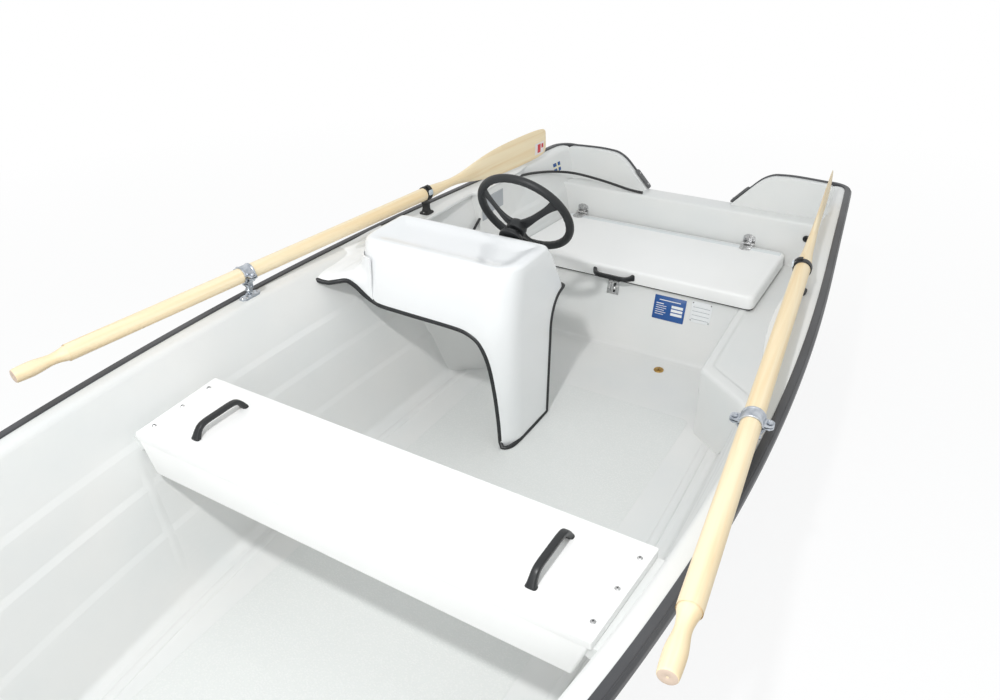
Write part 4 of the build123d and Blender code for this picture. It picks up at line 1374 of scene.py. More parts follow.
@dataclass(frozen=True)
class SideDecks:
    """Flat inner gunwales aft, with the ducts below them."""

    start: float = 330.0
    edge: float = 640.0
    turn: float = 1050.0
    duct: tuple[Flat, ...] = ((400.0, 600.0), (700.0, 612.0))
    bench: float = 270.0
    ends: Flat = (1780.0, 1240.0)
    turns: tuple[float, ...] = (400, 697, 700, 702, 705, 709, 714)

    def build(self) -> None:
        """Build and place both sides."""
        for side, end in zip(Side, self.ends):
            deck = joined(f"side_deck_moulding_{side.label}", [self._plate(side, end), self._duct(side)])
            place(deck, "liner_grey", f"side_deck_{side.label}")

    def _edge(self, x: float) -> float:
        """Half-breadth of the plate's inner edge.

        Args:
            x: Place along the boat.

        Returns:
            The half-breadth.
        """
        (aft_x, aft_y), (front_x, front_y) = self.duct
        if x <= aft_x:
            sheer_y = LINES.at(x).sheer_y
            return sheer_y - 44 + (aft_y - sheer_y + 44) * min(1.0, (x - self.start) / 70)
        if x <= front_x:
            return aft_y + (front_y - aft_y) * (x - aft_x) / (front_x - aft_x)
        if x <= front_x + 14:
            return front_y + (self.edge - front_y) * math.sin((x - front_x) / 14 * math.pi / 2)
        if x <= self.turn:
            return self.edge
        share = (x - self.turn) / (self.ends[0] - self.turn)
        ease = share * share * (3 - 2 * share)
        return self.edge + (LINES.at(x).sheer_y - 26 - self.edge) * ease

    def _plate(self, side: Side, end: float) -> Piece:
        """Plate flush with the gunwale, with a rolled inner edge.

        Args:
            side: Side of the boat.
            end: Where the plate ends forward.

        Returns:
            The dressed piece.
        """
        rows = []
        for x in sorted({*stretch(self.start, end, 30.0), *self.turns}):
            s = LINES.at(x)
            inner = self._edge(x)
            outer, top = s.sheer_y - 1.5, s.sheer_z + 0.7
            depth = min(14.0, 5 + (outer - inner) * 0.15)
            corners = [(outer, top - depth, 0), (outer, top, 0), (inner, top, 8), (inner, top - depth, 4)]
            rows.append([(x, side.value * y, z) for y, z in rounded(corners, 5, True)])
        return moulded("plate", rows, "liner_gelcoat", 50.0)

    def _duct(self, side: Side) -> Piece:
        """Duct between the bench and the plate, which dies into the hull side.

        Args:
            side: Side of the boat.

        Returns:
            The dressed piece.
        """
        (aft_x, aft_y), (front_x, front_y) = self.duct
        rows = []
        for z in (self.bench - 2, 330.0, 390.0, 450.0, 510.0, 560.0, 592.0):
            def wall(x: float) -> float:
                """Hull side at this height."""
                return LINES.inner_y(x, z) + BEDDED

            corners = [(aft_x - 58, wall(aft_x - 58), 0), (aft_x, min(aft_y, wall(aft_x) - 1), 16),
                       (front_x, min(front_y, wall(front_x) - 1), 14)]
            corners += [(front_x - 60 * step, wall(front_x - 60 * step), 0) for step in range(6)]
            rows.append([(x, side.value * y, z) for x, y in rounded(corners, 5, True)])
        return moulded("duct", rows, "liner_gelcoat", 40.0)


@dataclass(frozen=True)
class Console:
    """Moulded steering console with its tray, wing, arch, leg and rubber edging."""

    top: float = 670.0
    waist: float = 455.0
    foot: float = 10.6
    aft_top: float = 1148.0
    front_top: float = 1390.0
    front_low: float = 1425.0
    front_foot: float = 1400.0
    starboard: float = -640.0
    port_top: float = -57.0
    port_foot: float = -75.0
    corner: float = 90.0
    aft_corner: float = 24.0
    wall: float = 7.0
    dash_low: float = 480.0
    rake: float = 61.3
    leg_aft: float = 1138.0
    edging: float = 15.0
    wing_wall: float = 6.0
    arch: tuple[Flat, ...] = ((-575.0, 464.0), (-540.0, 456.0), (-480.0, 454.5), (-413.0, 453.5),
                              (-330.0, 453.0), (-240.0, 451.0), (-200.0, 443.0), (-168.0, 424.0),
                              (-147.0, 390.0), (-132.0, 335.0), (-122.0, 240.0), (-118.0, 130.0),
                              (-118.0, 60.0), (-119.0, 14.0))

    def build(self) -> None:
        """Build and place the console, its wing and its edging."""
        place(self._shell(), "console_white", "console_shell")
        place(self._wing(), "console_white", "console_wing")
        place(self._edging(), "trim_black", "console_trim")

    def dash_x(self, z: float) -> float:
        """Place of the sloping dash at a height."""
        return self.aft_top - (self.top - max(z, self.dash_low)) / math.tan(math.radians(self.rake))

    def _limits(self, z: float) -> tuple[float, float, float]:
        """Aft, front and port limits of the form at a height.

        Args:
            z: Height.

        Returns:
            The three limits.
        """
        if z >= self.waist:
            share = (z - self.waist) / (self.top - self.waist)
            front = self.front_low + (self.front_top - self.front_low) * share ** 1.3
            return self.dash_x(z), front, self.port_top
        share = max(z - self.foot, 0.0) / (self.waist - self.foot)
        return (self.dash_x(z), self.front_foot + (self.front_low - self.front_foot) * share ** 0.8,
                self.port_foot + (self.port_top - self.port_foot) * share)

    def _ring(self, z: float, inset: float, level: float | None = None) -> list[Place]:
        """Rounded level outline at a height, drawn in by an inset.

        Args:
            z: Height that gives the form.
            inset: How far it is drawn in.
            level: Height of the outline, where it differs.

        Returns:
            The outline's places.
        """
        x0, x1, y1 = self._limits(z)
        x0, x1, y0, y1 = x0 + inset, x1 - inset, self.starboard + inset, y1 - inset
        front, aft = max(self.corner - inset * 0.7, 12), max(self.aft_corner - inset * 0.4, 10)
        outline = rounded([(x1, y0, front * 0.75), (x1, y1, front), (x0, y1, aft), (x0, y0, aft)], 8, True)
        return [(x, y, z if level is None else level) for x, y in outline]

    def _body(self, inset: float) -> Piece:
        """Closed form drawn in by an inset, with the tray in the outer one.

        Args:
            inset: How far the form is drawn in.

        Returns:
            The undressed solid.
        """
        heights = [self.foot - 6 + inset * 0.2] + [60 + 50 * step for step in range(12)] + [632.0]
        rows = [self._ring(z, inset) for z in heights]
        if inset > 0:
            return lofted("inside", rows + [self._ring(self.top, inset, self.top - 40)])
        roll = 17.0
        for step in range(1, 7):
            angle = math.pi / 2 * step / 6
            rows.append(self._ring(self.top, roll * (1 - math.cos(angle)),
                                   self.top - roll * (1 - math.sin(angle))))
        for inset, drop in ((20, 0.1), (28, 0.8), (37, 2.8), (48, 6), (60, 9.2), (74, 11), (92, 11.8),
                            (116, 12)):
            rows.append(self._ring(self.top, inset, self.top - drop))
        return lofted("outside", rows)

    def _shell(self) -> Piece:
        """Hollow shell, open under the dash and under the arch.

        Returns:
            The dressed piece.
        """
        front = [(-900.0, -60.0), (-900.0, 470.0), (-600.0, 466.0)] + fair(self.arch, 4) + [(-119.0, -60.0)]
        arch = slab("arch", front, 900.0, 1600.0, "x")
        low, high = self.dash_low, self.leg_aft
        aft = [(900, -60), (high, -60), (high, 300), (high + 1, 372), (high - 8, 416), (high - 26, 452),
               (high - 52, 472), (high - 80, low), (900, low)]
        under = slab("under", [(float(x), float(z)) for x, z in aft], -900.0, 100.0, "y")
        shell = trimmed(self._body(0.0), [self._body(self.wall), arch, under])
        shell.name = "console_moulding"
        return smooth(wear(shell, "console_gelcoat"), 38.0)

    def front_x(self, y: float, z: float) -> float:
        """Place of the front face at a half-breadth and height.

        Args:
            y: Distance to port of the centreline.
            z: Height.

        Returns:
            The face's place along the boat.
        """
        x = self._limits(z)[1]
        port = self._limits(z)[2]
        radius = self.corner
        if y > port - radius:
            return x - radius + math.sqrt(max(radius ** 2 - (y - port + radius) ** 2, 0.0))
        return x

    def _wing_front(self) -> list[Place]:
        """Lower front edge of the wing from the hull side to the console's front.

        Returns:
            The edge's places.
        """
        return [(1522.0, -727.0, 556.0), (1512.0, -708.0, 548.0), (1500.0, -690.0, 543.0),
                (1484.0, -662.0, 547.0), (1466.0, -642.0, 546.0), (1450.0, -622.0, 524.0),
                (1437.0, -600.0, 492.0), (1426.5, -575.0, 464.0)]

    def _wing(self) -> Piece:
        """Wing that joins the console to the hull side: shelf, lip, and a skirt that fairs into the front.

        Returns:
            The dressed piece.
        """
        edge = fair(self._wing_front(), 6)
        shares = (0.03, 0.08, 0.15, 0.25, 0.37, 0.55, 0.7, 0.82, 0.91, 0.97, 1.0, 1.0)
        relax = (0.24, 0.42, 0.58, 0.74, 0.87, 0.96, 1.0, 1.0, 1.0, 1.0, 1.0, 1.0)
        lip = (0.0, 0.0, 0.0, 0.0, 0.01, 0.03, 0.08, 0.18, 0.36, 0.6, 0.85, 1.0)
        flat, wall_z = 573.0, 612.0
        back = (1150.0, 1200.0, 1255.0, 1310.0, 1358.0)

        def down(top: float, tip: float, plain: float) -> list[float]:
            """Heights along a row: shelf with a rolled lip, or a plain fall.

            Args:
                top: Height where the row starts.
                tip: Height where it ends.
                plain: How much of the shelf becomes a plain fall.

            Returns:
                The heights, inner edge to tip.
            """
            heights = []
            for step, (ease, curl) in enumerate(zip(relax, lip), 1):
                shelf = top + (min(flat, top) - top) * ease
                shelf += (tip - shelf) * curl
                fall = top + (tip - top) * step / len(shares)
                heights.append(shelf + (fall - shelf) * plain)
            return heights

        levels = ((-752, 601.6), (-742, 602.0), (-730, 600.0), (-721, 590.0), (-712, 579.0), (-698, 573.0),
                  (-680, 571.5), (-666, 573.0), (-656, 578.0), (-649, 586.0), (-644, 598.0), (-641, wall_z))
        rows = []
        for y, z in fair([(float(a), float(b)) for a, b in levels], 3):
            tip_x, _, tip_z = min(edge, key=lambda spot: abs(spot[1] - y))
            heights = down(z, tip_z + max(0.0, -727 - y) * 1.6, 0.0)
            row = [(x, y, z) for x in back]
            row += [(back[-1] + (tip_x - back[-1]) * share, y, h) for share, h in zip(shares, heights)]
            rows.append(row)
        radius = self.corner * 0.75
        lead = [spot for spot in edge if spot[1] > -641]
        for index, (tip_x, tip_y, tip_z) in enumerate(lead):
            along = (index + 1) / len(lead)
            angle = math.pi / 2 * along
            x = self.front_low - radius + radius * math.sin(angle)
            y = self.starboard + radius - radius * math.cos(angle)
            heights = down(wall_z, tip_z, along ** 1.5)
            row = [(x - 3 * math.sin(angle), y + 3 * math.cos(angle), wall_z + 10 - 2 * step)
                   for step in range(5)]
            sunk = 1.5 * along ** 0.5
            x, y = x - sunk * math.sin(angle), y + sunk * math.cos(angle)
            row += [(x + (tip_x - x) * share, y + (tip_y - y) * share, h)
                    for share, h in zip(shares, heights)]
            rows.append(row)
        top = lofted("wing", rows, ring=False, caps=False)
        thick = top.modifiers.new("thickness", "SOLIDIFY")
        thick.thickness = self.wing_wall / 1000
        thick.offset = -1.0 if top.data.polygons[0].normal.z > 0 else 1.0
        settled(top)
        top.name = "console_wing_moulding"
        return smooth(wear(top, "console_gelcoat"), 60.0)

    def _edging(self) -> Piece:
        """Rubber edging from the wing's tip round the arch, the foot and the leg to the dash.

        Returns:
            The dressed piece.
        """
        wing = self._wing_front()[:-1]
        arch = [(self.front_x(y, z) - 2.5, y, z) for y, z in self.arch]
        foot = [(1398.0, -104.0, 13.0), (1390.0, -92.0, 13.0), (1372.0, -82.0, 13.0), (1340.0, -78.0, 13.0),
                (1290.0, -77.0, 13.0), (1210.0, -77.0, 13.0), (1150.0, -78.0, 13.0)]
        aft = self.leg_aft + 1
        rise = ((0, 17.0), (0, 60.0), (0, 180.0), (0, 300.0), (0, 372.0), (8, 416.0), (26, 452.0),
                (52, 472.0), (80, 480.0))
        leg = [(aft - back, self._limits(z)[2] - 2.5, z) for back, z in rise]
        leg += [(aft - 91, -66.0, 481.0), (aft - 94, -100.0, 481.0), (aft - 94, -300.0, 481.0),
                (aft - 94, -636.0, 481.0)]
        path = fair(wing + arch, 4)[:-1] + fair(foot, 3) + fair(leg, 4)
        spots = [Vector(spot) for spot in path]
        rows = []
        side = Vector((0, 0, 1))
        for index, spot in enumerate(spots):
            run = heading(spots, index).normalized()
            side = (side - run * side.dot(run)).normalized()
            other = run.cross(side)
            rows.append([tuple(spot + side * a + other * b)
                         for a, b in oval(self.edging, self.edging, 14, 2.8)])
        return moulded("console_edging", rows, "edge_rubber", 50.0)


@dataclass(frozen=True)
class Helm:
    """Steering wheel with three dished spokes, its hub, boot and bezel."""

    at: Place = (1040.0, -210.0, 708.0)
    rake: float = 61.3
    rim: float = 161.0
    grip: float = 28.0
    dash: float = 112.7
    rim_steps: int = 144
    fingers: int = 36
    finger_depth: float = 0.9

    def build(self) -> None:
        """Build and place the wheel and the bezel."""
        place(self._rim(), "wheel_black", "wheel_rim", body="steering_wheel")
        place(self._spider(), "wheel_black", "wheel_spokes", body="steering_wheel")
        place(self._bezel(), "handle_black", "helm_bezel")

    @property
    def axis(self) -> Place:
        """Direction of the shaft, up out of the dash."""
        rake = math.radians(self.rake)
        return -math.sin(rake), 0.0, math.cos(rake)

    def spot(self, radius: float, angle: float, height: float) -> Place:
        """Place at a radius and angle in the wheel's plane and a height along its shaft.

        Args:
            radius: Distance from the shaft.
            angle: Angle round the shaft, in radians from straight ahead.
            height: Distance along the shaft.

        Returns:
            The place in the boat.
        """
        rake = math.radians(self.rake)
        up = Vector((-math.sin(rake), 0, math.cos(rake)))
        ahead = Vector((math.cos(rake), 0, math.sin(rake)))
        across_plane = ahead * math.cos(angle) + Vector((0, 1, 0)) * math.sin(angle)
        return tuple(Vector(self.at) + across_plane * radius + up * height)

    def _rim(self) -> Piece:
        """Soft rim with shallow finger grips on its inner side.

        Returns:
            The dressed piece.
        """
        rows = []
        for step in range(self.rim_steps):
            angle = 2 * math.pi * step / self.rim_steps
            finger = self.finger_depth * (0.5 + 0.5 * math.cos(self.fingers * angle))
            rows.append([self.spot(self.rim + a + (finger if a < 0 else 0.0), angle, b)
                         for a, b in oval(self.grip, self.grip * 0.94, 20, 2.2)])
        return moulded("wheel_grip", rows, "wheel_foam", 60.0, looped=True)

    def _spoke(self, angle: float) -> Piece:
        """Dished spoke that widens into the rim.

        Args:
            angle: Where the spoke points, in radians.

        Returns:
            The dressed piece.
        """
        rows = []
        for radius, height, width, depth in fair(((20, -56, 40, 16), (42, -53, 34, 13), (70, -43, 26, 11),
                                                  (100, -29, 24, 10), (126, -16, 27, 10), (146, -6, 38, 11),
                                                  (158, -1, 52, 12)), 3):
            rows.append([self.spot(math.hypot(radius, a), angle + math.atan2(a, radius), height + b)
                         for a, b in oval(width, depth, 20, 3.5)])
        return moulded("spoke", rows, "wheel_foam", 50.0)

    def _spider(self) -> Piece:
        """Hub, cap, spokes with dark strips of painted shade for their slots, and the boot down to the bezel.

        Returns:
            The dressed piece.
        """
        profile = [(-88.0, 11), (-87.0, 17), (-84, 17), (-83, 14.5), (-81, 14.5), (-80, 30), (-77, 33),
                   (-60, 34), (-50, 31), (-46.5, 27), (-45.5, 24), (-44.6, 23.6), (-43.4, 22.4), (-42.6, 18),
                   (-42.2, 8), (-42.1, 1)]
        parts = [smooth(wear(turned("hub", profile, self.at, self.axis, 40), "wheel_foam"))]
        for index in range(3):
            angle = math.pi + 2 * math.pi * index / 3
            parts.append(self._spoke(angle))
            # Each slot is a dark strip on the spoke: painted shade standing for the slot.
            slot = []
            for radius, height in ((60, -41.4), (80, -32.6), (100, -23.6), (118, -14.8)):
                slot.append([self.spot(math.hypot(radius, a), angle + math.atan2(a, radius), height + b)
                             for a, b in oval(7, 2.2, 10, 3)])
            parts.append(moulded("slot", slot, "dark_gap"))
        spots = [(self.spot(17, math.radians(60 * k + 20), -42.9), self.axis) for k in range(6)]
        parts.append(SCREWS.set("hub_screws", spots, 2.6, 1.4, metal="handle_plastic"))
        return joined("wheel_spider", parts)

    def _bezel(self) -> Piece:
        """Stepped round bezel on the dash.

        Returns:
            The dressed piece.
        """
        base = -self.dash
        profile = [(base - 1, 41), (base + 3, 42), (base + 8, 42), (base + 11, 40), (base + 12, 37),
                   (base + 14, 36), (base + 19, 33), (base + 22, 27), (base + 23.6, 20), (base + 23.8, 11)]
        body = smooth(wear(turned("bezel", profile, self.at, self.axis, 48), "handle_plastic"))
        spots = [(self.spot(33.5, math.radians(45 + 90 * k), base + 18.4), self.axis) for k in range(4)]
        return joined("helm_bezel_moulding", [body, SCREWS.set("bezel_screws", spots, 2.4, 1.4)])


@dataclass(frozen=True)
class PullHandle:
    """Bow-shaped pull handle with tapered feet.

    Attributes:
        half: Half the distance between its screws.
        rise: Height over the feet.
        width: Width across.
    """

    half: float = 74.5
    rise: float = 38.0
    width: float = 20.0

    def make(self, name: str, at: Place, along: Place, out: Place) -> Piece:
        """Build one handle.

        Args:
            name: Name of the piece.
            at: Middle of its foot line.
            along: Direction of its length.
            out: Direction that it stands out in.

        Returns:
            The dressed handle.
        """
        middle, run, lift = Vector(at), Vector(along).normalized(), Vector(out).normalized()
        side = lift.cross(run)
        half = self.half
        path = [(-half - 6, 0.3, 27, 17), (-half - 3, 6, 22, 16), (-half + 4, 17, 19, 15),
                (-half + 15, 27, 18, 14), (-half + 34, 31.2, 18, 13), (0, 31.4, 18, 13)]
        path += [(-a, b, c, d) for a, b, c, d in reversed(path[:-1])]
        spots = fair(path, 4)
        rows = []
        for index, (a, b, wide, thick) in enumerate(spots):
            before, after = spots[max(index - 1, 0)], spots[min(index + 1, len(spots) - 1)]
            tangent = (run * (after[0] - before[0]) + lift * (after[1] - before[1])).normalized()
            if index == 0:
                tangent = (run * 0.25 + lift).normalized()
            if index == len(spots) - 1:
                tangent = (run * 0.25 - lift).normalized()
            normal = side.cross(tangent)
            spot = middle + run * a + lift * b
            row = [spot + side * u + normal * v for u, v in oval(wide, thick, 20, 3.6)]
            if index in (0, len(spots) - 1):
                row = [point - lift * (point - middle).dot(lift) + lift * 0.3 for point in row]
            rows.append([tuple(point) for point in row])
        bar = smooth(wear(lofted(name, rows), "handle_plastic"), 50.0)
        caps = []
        for sign in (-1, 1):
            foot = middle + run * sign * (half + 1) + lift * 9
            caps.append((tuple(foot), tuple(lift + run * sign * 1.6)))
        return joined(name, [bar, SCREWS.set("handle_screws", caps, 3.4, 1.6, metal="stainless")])


@dataclass(frozen=True)
class Thwart:
    """Mid seat with its front apron, end ledges, screws and pull handles."""

    aft: float = 2017.0
    front: float = 2301.0
    top: float = 477.0
    plate: float = 22.0
    apron: float = 121.0
    lip: float = 38.0
    end_gap: float = 19.0
    handle_y: float = 487.0

    def build(self) -> None:
        """Build and place the seat and what is on it."""
        place(self._seat(), "console_white", "mid_thwart")
        for side in Side:
            place(self._ledge(side), "liner_grey", f"thwart_riser_{side.label}")
            at = ((self.aft + self.front) / 2, side.value * self.handle_y, self.top)
            handle = PullHandle().make(f"seat_pull_{side.label}", at, (1, 0, 0), (0, 0, 1))
            place(handle, "handle_black", f"thwart_handle_{side.label}")

    def _seat(self) -> Piece:
        """Moulded seat plate, apron and lip with their screws.

        Returns:
            The dressed piece.
        """
        under = self.top - self.plate
        aft_y = LINES.inner_y(self.aft, under) - self.end_gap
        front_y = LINES.inner_y(self.front, under) - self.end_gap
        outline = rounded([(self.aft, -aft_y, 6), (self.front, -front_y, 6), (self.front, front_y, 6),
                           (self.aft, aft_y, 6)], 3, True)
        plate = softened(slab("plate", outline, under, self.top), 9.0, 4)
        low, hidden, short = self.top - self.apron, self.top - 9, self.top - self.lip
        face = [(-front_y + 1, hidden), (-front_y + 40, low), (front_y - 40, low), (front_y - 1, hidden)]
        apron = softened(slab("apron", face, self.front - 20, self.front - 0.4, "x"), 7.0, 4)
        face = [(-aft_y + 8, hidden), (-aft_y + 18, short), (aft_y - 18, short), (aft_y - 8, hidden)]
        lip = softened(slab("lip", face, self.aft + 0.4, self.aft + 18, "x"), 5.0, 3)
        screws = []
        for side in Side:
            for share in (0.16, 0.5, 0.84):
                x = self.aft + share * (self.front - self.aft)
                y = side.value * (aft_y + (front_y - aft_y) * share - 22)
                screws.append(((x, y, self.top), (0, 0, 1)))
        heads = SCREWS.set("seat_screws", screws, 6.5, 2.6)
        return joined("seat_moulding", [wear(plate, "seat_gelcoat"), wear(apron, "seat_gelcoat"),
                                        wear(lip, "seat_gelcoat"), heads])

    def _ledge(self, side: Side) -> Piece:
        """Rounded ledge of the liner under one end of the seat.

        Args:
            side: Side of the boat.

        Returns:
            The dressed piece.
        """
        under = self.top - self.plate
        rows = []
        for x in (self.aft + 6, self.aft + 14, self.aft + 60, self.front - 60, self.front - 14,
                  self.front - 6):
            wall = LINES.inner_y(x, under - 10)
            inset = 8 if x in (self.aft + 6, self.front - 6) else 0
            corners = [(wall + 8, under - 0.3, 0), (wall - 62 + inset, under - 0.3, 6),
                       (wall - 58 + inset, under - 20, 8), (wall - 16, under - 44 + inset, 10),
                       (wall + 2, under - 60, 4), (wall + 8, under - 62, 0)]
            rows.append([(x, side.value * y, z) for y, z in rounded(corners, 4, True)])
        return moulded(f"seat_ledge_{side.label}", rows, "liner_gelcoat", 50.0)


@dataclass(frozen=True)
class Locker:
    """Stern benches, locker front, lid with its hinges, handle and hasp, and the plates."""

    bench: float = 270.0
    aft: float = 84.0
    inner: float = 402.0
    flare: float = 18.0
    panel: float = 530.0
    lean: float = 75.0 / 260.0
    bench_end: float = 1000.0
    lid: tuple[Flat, ...] = ((104.0, -507.0), (548.0, -552.0), (548.0, 455.0), (104.0, 455.0))
    lid_low: float = 270.3
    lid_top: float = 328.3
    hinges: tuple[float, float] = (300.0, -455.0)
    axis_z: float = 334.3

    def build(self) -> None:
        """Build and place the stern's pieces."""
        for side in Side:
            place(self._bench(side), "liner_grey", f"side_bench_{side.label}")
            place(self._fixed_leaf(side), "stainless", f"lid_hinge_fixed_{side.label}")
            place(self._lid_leaf(side), "stainless", f"lid_hinge_leaf_{side.label}", body="locker_lid_unit")
        place(self._front(), "liner_grey", "locker_front")
        place(self._lid(), "console_white", "locker_lid", body="locker_lid_unit")
        handle = PullHandle().make("lid_pull", (self.lid[1][0] + 0.3, -95.0, 299.0), (0, 1, 0), (1, 0, 0))
        place(handle, "handle_black", "lid_handle", body="locker_lid_unit")
        place(self._hasp(), "stainless", "hasp_plate")
        place(self._data_plate(), "plate_blue", "data_plate")
        place(self._slotted_plate(), "plate_white", "capacity_plate")

    def _bench(self, side: Side) -> Piece:
        """Side bench with a rim round its seat, fitted to the hull side.

        Args:
            side: Side of the boat.

        Returns:
            The dressed piece.
        """
        def outline(inset: float, level: float) -> list[Flat]:
            """Plan outline at a level, drawn in from the two free edges.

            Args:
                inset: How far it is drawn in.
                level: Height that gives the hull side.

            Returns:
                The closed outline.
            """
            level = max(level, 14.0)
            inner, end = self.inner + inset, self.bench_end - inset * 1.2
            flare = self.flare * (end - self.panel) / (self.bench_end - self.panel)
            tip_x, tip_y = end, inner + flare
            while tip_y < LINES.inner_y(tip_x, level) + BEDDED:
                tip_x, tip_y = tip_x + 3.0, tip_y + 4.1
            corners = [(self.aft, inner, 0), (self.panel, inner, 40), (end, inner + flare, 22 + inset * 0.4)]
            back = [tip_x + (self.aft - tip_x) * step / 12 for step in range(13)]
            corners += [(x, LINES.inner_y(x, level) + BEDDED, 0) for x in back]
            return [(x, side.value * y) for x, y in rounded(corners, 5, True)]

        rows = []
        for inset, z in ((0, 6.0), (0, 60.0), (0, 120.0), (0, 190.0), (0, self.bench - 16),
                         (0.6, self.bench - 9), (3, self.bench - 3.5), (7, self.bench - 0.8),
                         (11, self.bench), (26, self.bench), (29, self.bench - 0.8), (32, self.bench - 3.2),
                         (35, self.bench - 4.4), (39, self.bench - 4.8)):
            rows.append([(x, y, z) for x, y in outline(inset, z)])
        return moulded(f"bench_{side.label}", rows, "liner_gelcoat", 40.0)

    def _front(self) -> Piece:
        """Locker front with its foot cove.

        Returns:
            The dressed piece.
        """
        half = self.inner + 3
        foot = self.panel + self.lean * (self.bench - 12)
        profile = [(foot - 20, 4, 0), (foot + 26, 4, 0), (foot + 26, 10.6, 2), (foot, 12, 24),
                   (self.panel, self.bench - 0.5, 6), (self.panel - 20, self.bench - 0.5, 4)]
        outline = rounded(profile, 6, True)
        rows = [[(x, y, z) for x, z in outline] for y in (-half, -half / 2, 0.0, half / 2, half)]
        return moulded("locker_panel", rows, "liner_gelcoat", 40.0)

    def _lid_ring(self, inset: float, z: float, radius: float) -> list[Place]:
        """Rounded level outline of the lid, drawn in by an inset.

        Args:
            inset: How far it is drawn in.
            z: Its height.
            radius: Radius of its corners.

        Returns:
            The outline's places.
        """
        corners = [(x + (inset if x < 300 else -inset), y - math.copysign(inset, y), radius)
                   for x, y in self.lid]
        return [(x, y, z) for x, y in rounded(corners, 7, True)]

    def _lid(self) -> Piece:
        """Moulded lid: broad rolled edges, straight skirt and rounded corners.

        Returns:
            The dressed piece.
        """
        levels = [(3.0, self.lid_low + 4.5), (0.8, self.lid_low + 5.2), (0.0, self.lid_low + 7)]
        roll = 13.0
        for step in range(8):
            angle = math.pi / 2 * step / 7
            levels.append((roll * (1 - math.cos(angle)), self.lid_top - roll + roll * math.sin(angle)))
        levels += [(30.0, self.lid_top + 0.8), (90.0, self.lid_top + 2.0), (180.0, self.lid_top + 2.8)]
        rows = [self._lid_ring(inset, z, max(30.0 - inset * 0.4, 8)) for inset, z in levels]
        # Dark band inset under the lid's lower edge: partly a rubber seal, partly painted shadow of the gap
        # under the lid.
        seal_and_gap_shade = [self._lid_ring(inset, self.lid_low + over, 28.0)
                for inset, over in ((16.0, 5), (16.0, 0), (4.0, 0), (2.5, 0.6), (2.5, 5))]
        # Greyer strip along the aft edge: painted shade standing for the shade on the rolled edge.
        outline = rounded([(121, -494, 6.0), (151, -497, 6.0), (151, 442, 6.0), (121, 442, 6.0)], 4, True)
        band = [[(x, y, z) for x, y in outline] for z in (self.lid_top - 2, self.lid_top + 1.4)]
        return joined("lid", [moulded("lid_moulding", rows, "seat_gelcoat", 40.0),
                              softened(wear(lofted("lid_band", band), "lid_band"), 0.8, 2),
                              moulded("lid_seal", seal_and_gap_shade, "edge_rubber", 40.0, looped=True)])

    def _fixed_leaf(self, side: Side) -> Piece:
        """Hinge leaf on the transom, with the middle knuckle.

        Args:
            side: Side of the boat.

        Returns:
            The dressed piece.
        """
        y, x, z = self.hinges[side is Side.STARBOARD], ON_CORE, self.axis_z
        corners = [(y - 24, z, 2), (y + 24, z, 2), (y + 24, z + 29, 10), (y + 8, z + 36, 8),
                   (y - 8, z + 36, 8), (y - 24, z + 29, 10)]
        leaf = softened(slab("leaf", rounded(corners, 4, True), x, x + 2.4, "x"), 0.6, 2)
        bridge = softened(block("bridge", (x, 102), (y - 11.5, y + 11.5), (z - 3, z + 3)), 1.2)
        knuckle = turned("knuckle", [(0, 4.2), (0.8, 5), (22.2, 5), (23, 4.2)], (104, y - 11.5, z), (0, 1, 0),
                         20)
        pin = turned("pin", [(0, 2.4), (0.6, 3), (50.4, 3), (51, 2.4)], (104, y - 25.5, z), (0, 1, 0), 16)
        spots = [((x + 2.4, y + dy, z + dz), (1, 0, 0)) for dy, dz in ((-14, 17), (14, 17), (0, 27))]
        parts = [wear(part, "stainless") for part in (leaf, bridge, smooth(knuckle), smooth(pin))]
        return joined(f"hinge_fixed_{side.label}", parts + [SCREWS.set("hinge_screws", spots, 4, 1.8)])

    def _lid_leaf(self, side: Side) -> Piece:
        """Hinge leaf on the lid, with its two knuckles.

        Args:
            side: Side of the boat.

        Returns:
            The dressed piece.
        """
        y, z = self.hinges[side is Side.STARBOARD], self.lid_top + 1.0
        corners = [(118, y - 24, 2), (152, y - 24, 10), (163, y - 8, 8), (163, y + 8, 8), (152, y + 24, 10),
                   (118, y + 24, 2)]
        leaf = softened(slab("leaf", rounded(corners, 4, True), z, z + 2.6), 0.6, 2)
        parts = [leaf]
        for near, far in ((-24.5, -13), (13, 24.5)):
            parts.append(softened(block("arm", (105, 121), (y + near, y + far), (z - 0.4, z + 3.6)), 1.0))
            profile = [(0, 4.2), (0.8, 5), (far - near - 0.8, 5), (far - near, 4.2)]
            parts.append(smooth(turned("knuckle", profile, (104, y + near, self.axis_z), (0, 1, 0), 20)))
        spots = [((132, y - 13, z + 2.6), (0, 0, 1)), ((132, y + 13, z + 2.6), (0, 0, 1)),
                 ((150, y, z + 2.6), (0, 0, 1))]
        screws = SCREWS.set("hinge_screws", spots, 4, 1.8)
        return joined(f"hinge_lid_{side.label}", [wear(part, "stainless") for part in parts] + [screws])

    def _leaned(self, name: str, pieces: list[Piece]) -> Piece:
        """Join what sits on the locker front and lean it with the front.

        Args:
            name: Name of the piece.
            pieces: What sits on the front, as if it stood upright.

        Returns:
            The leaned piece.
        """
        obj = joined(name, pieces)
        for corner in obj.data.vertices:
            corner.co.x += (self.bench / 1000 - corner.co.z) * self.lean
        return obj

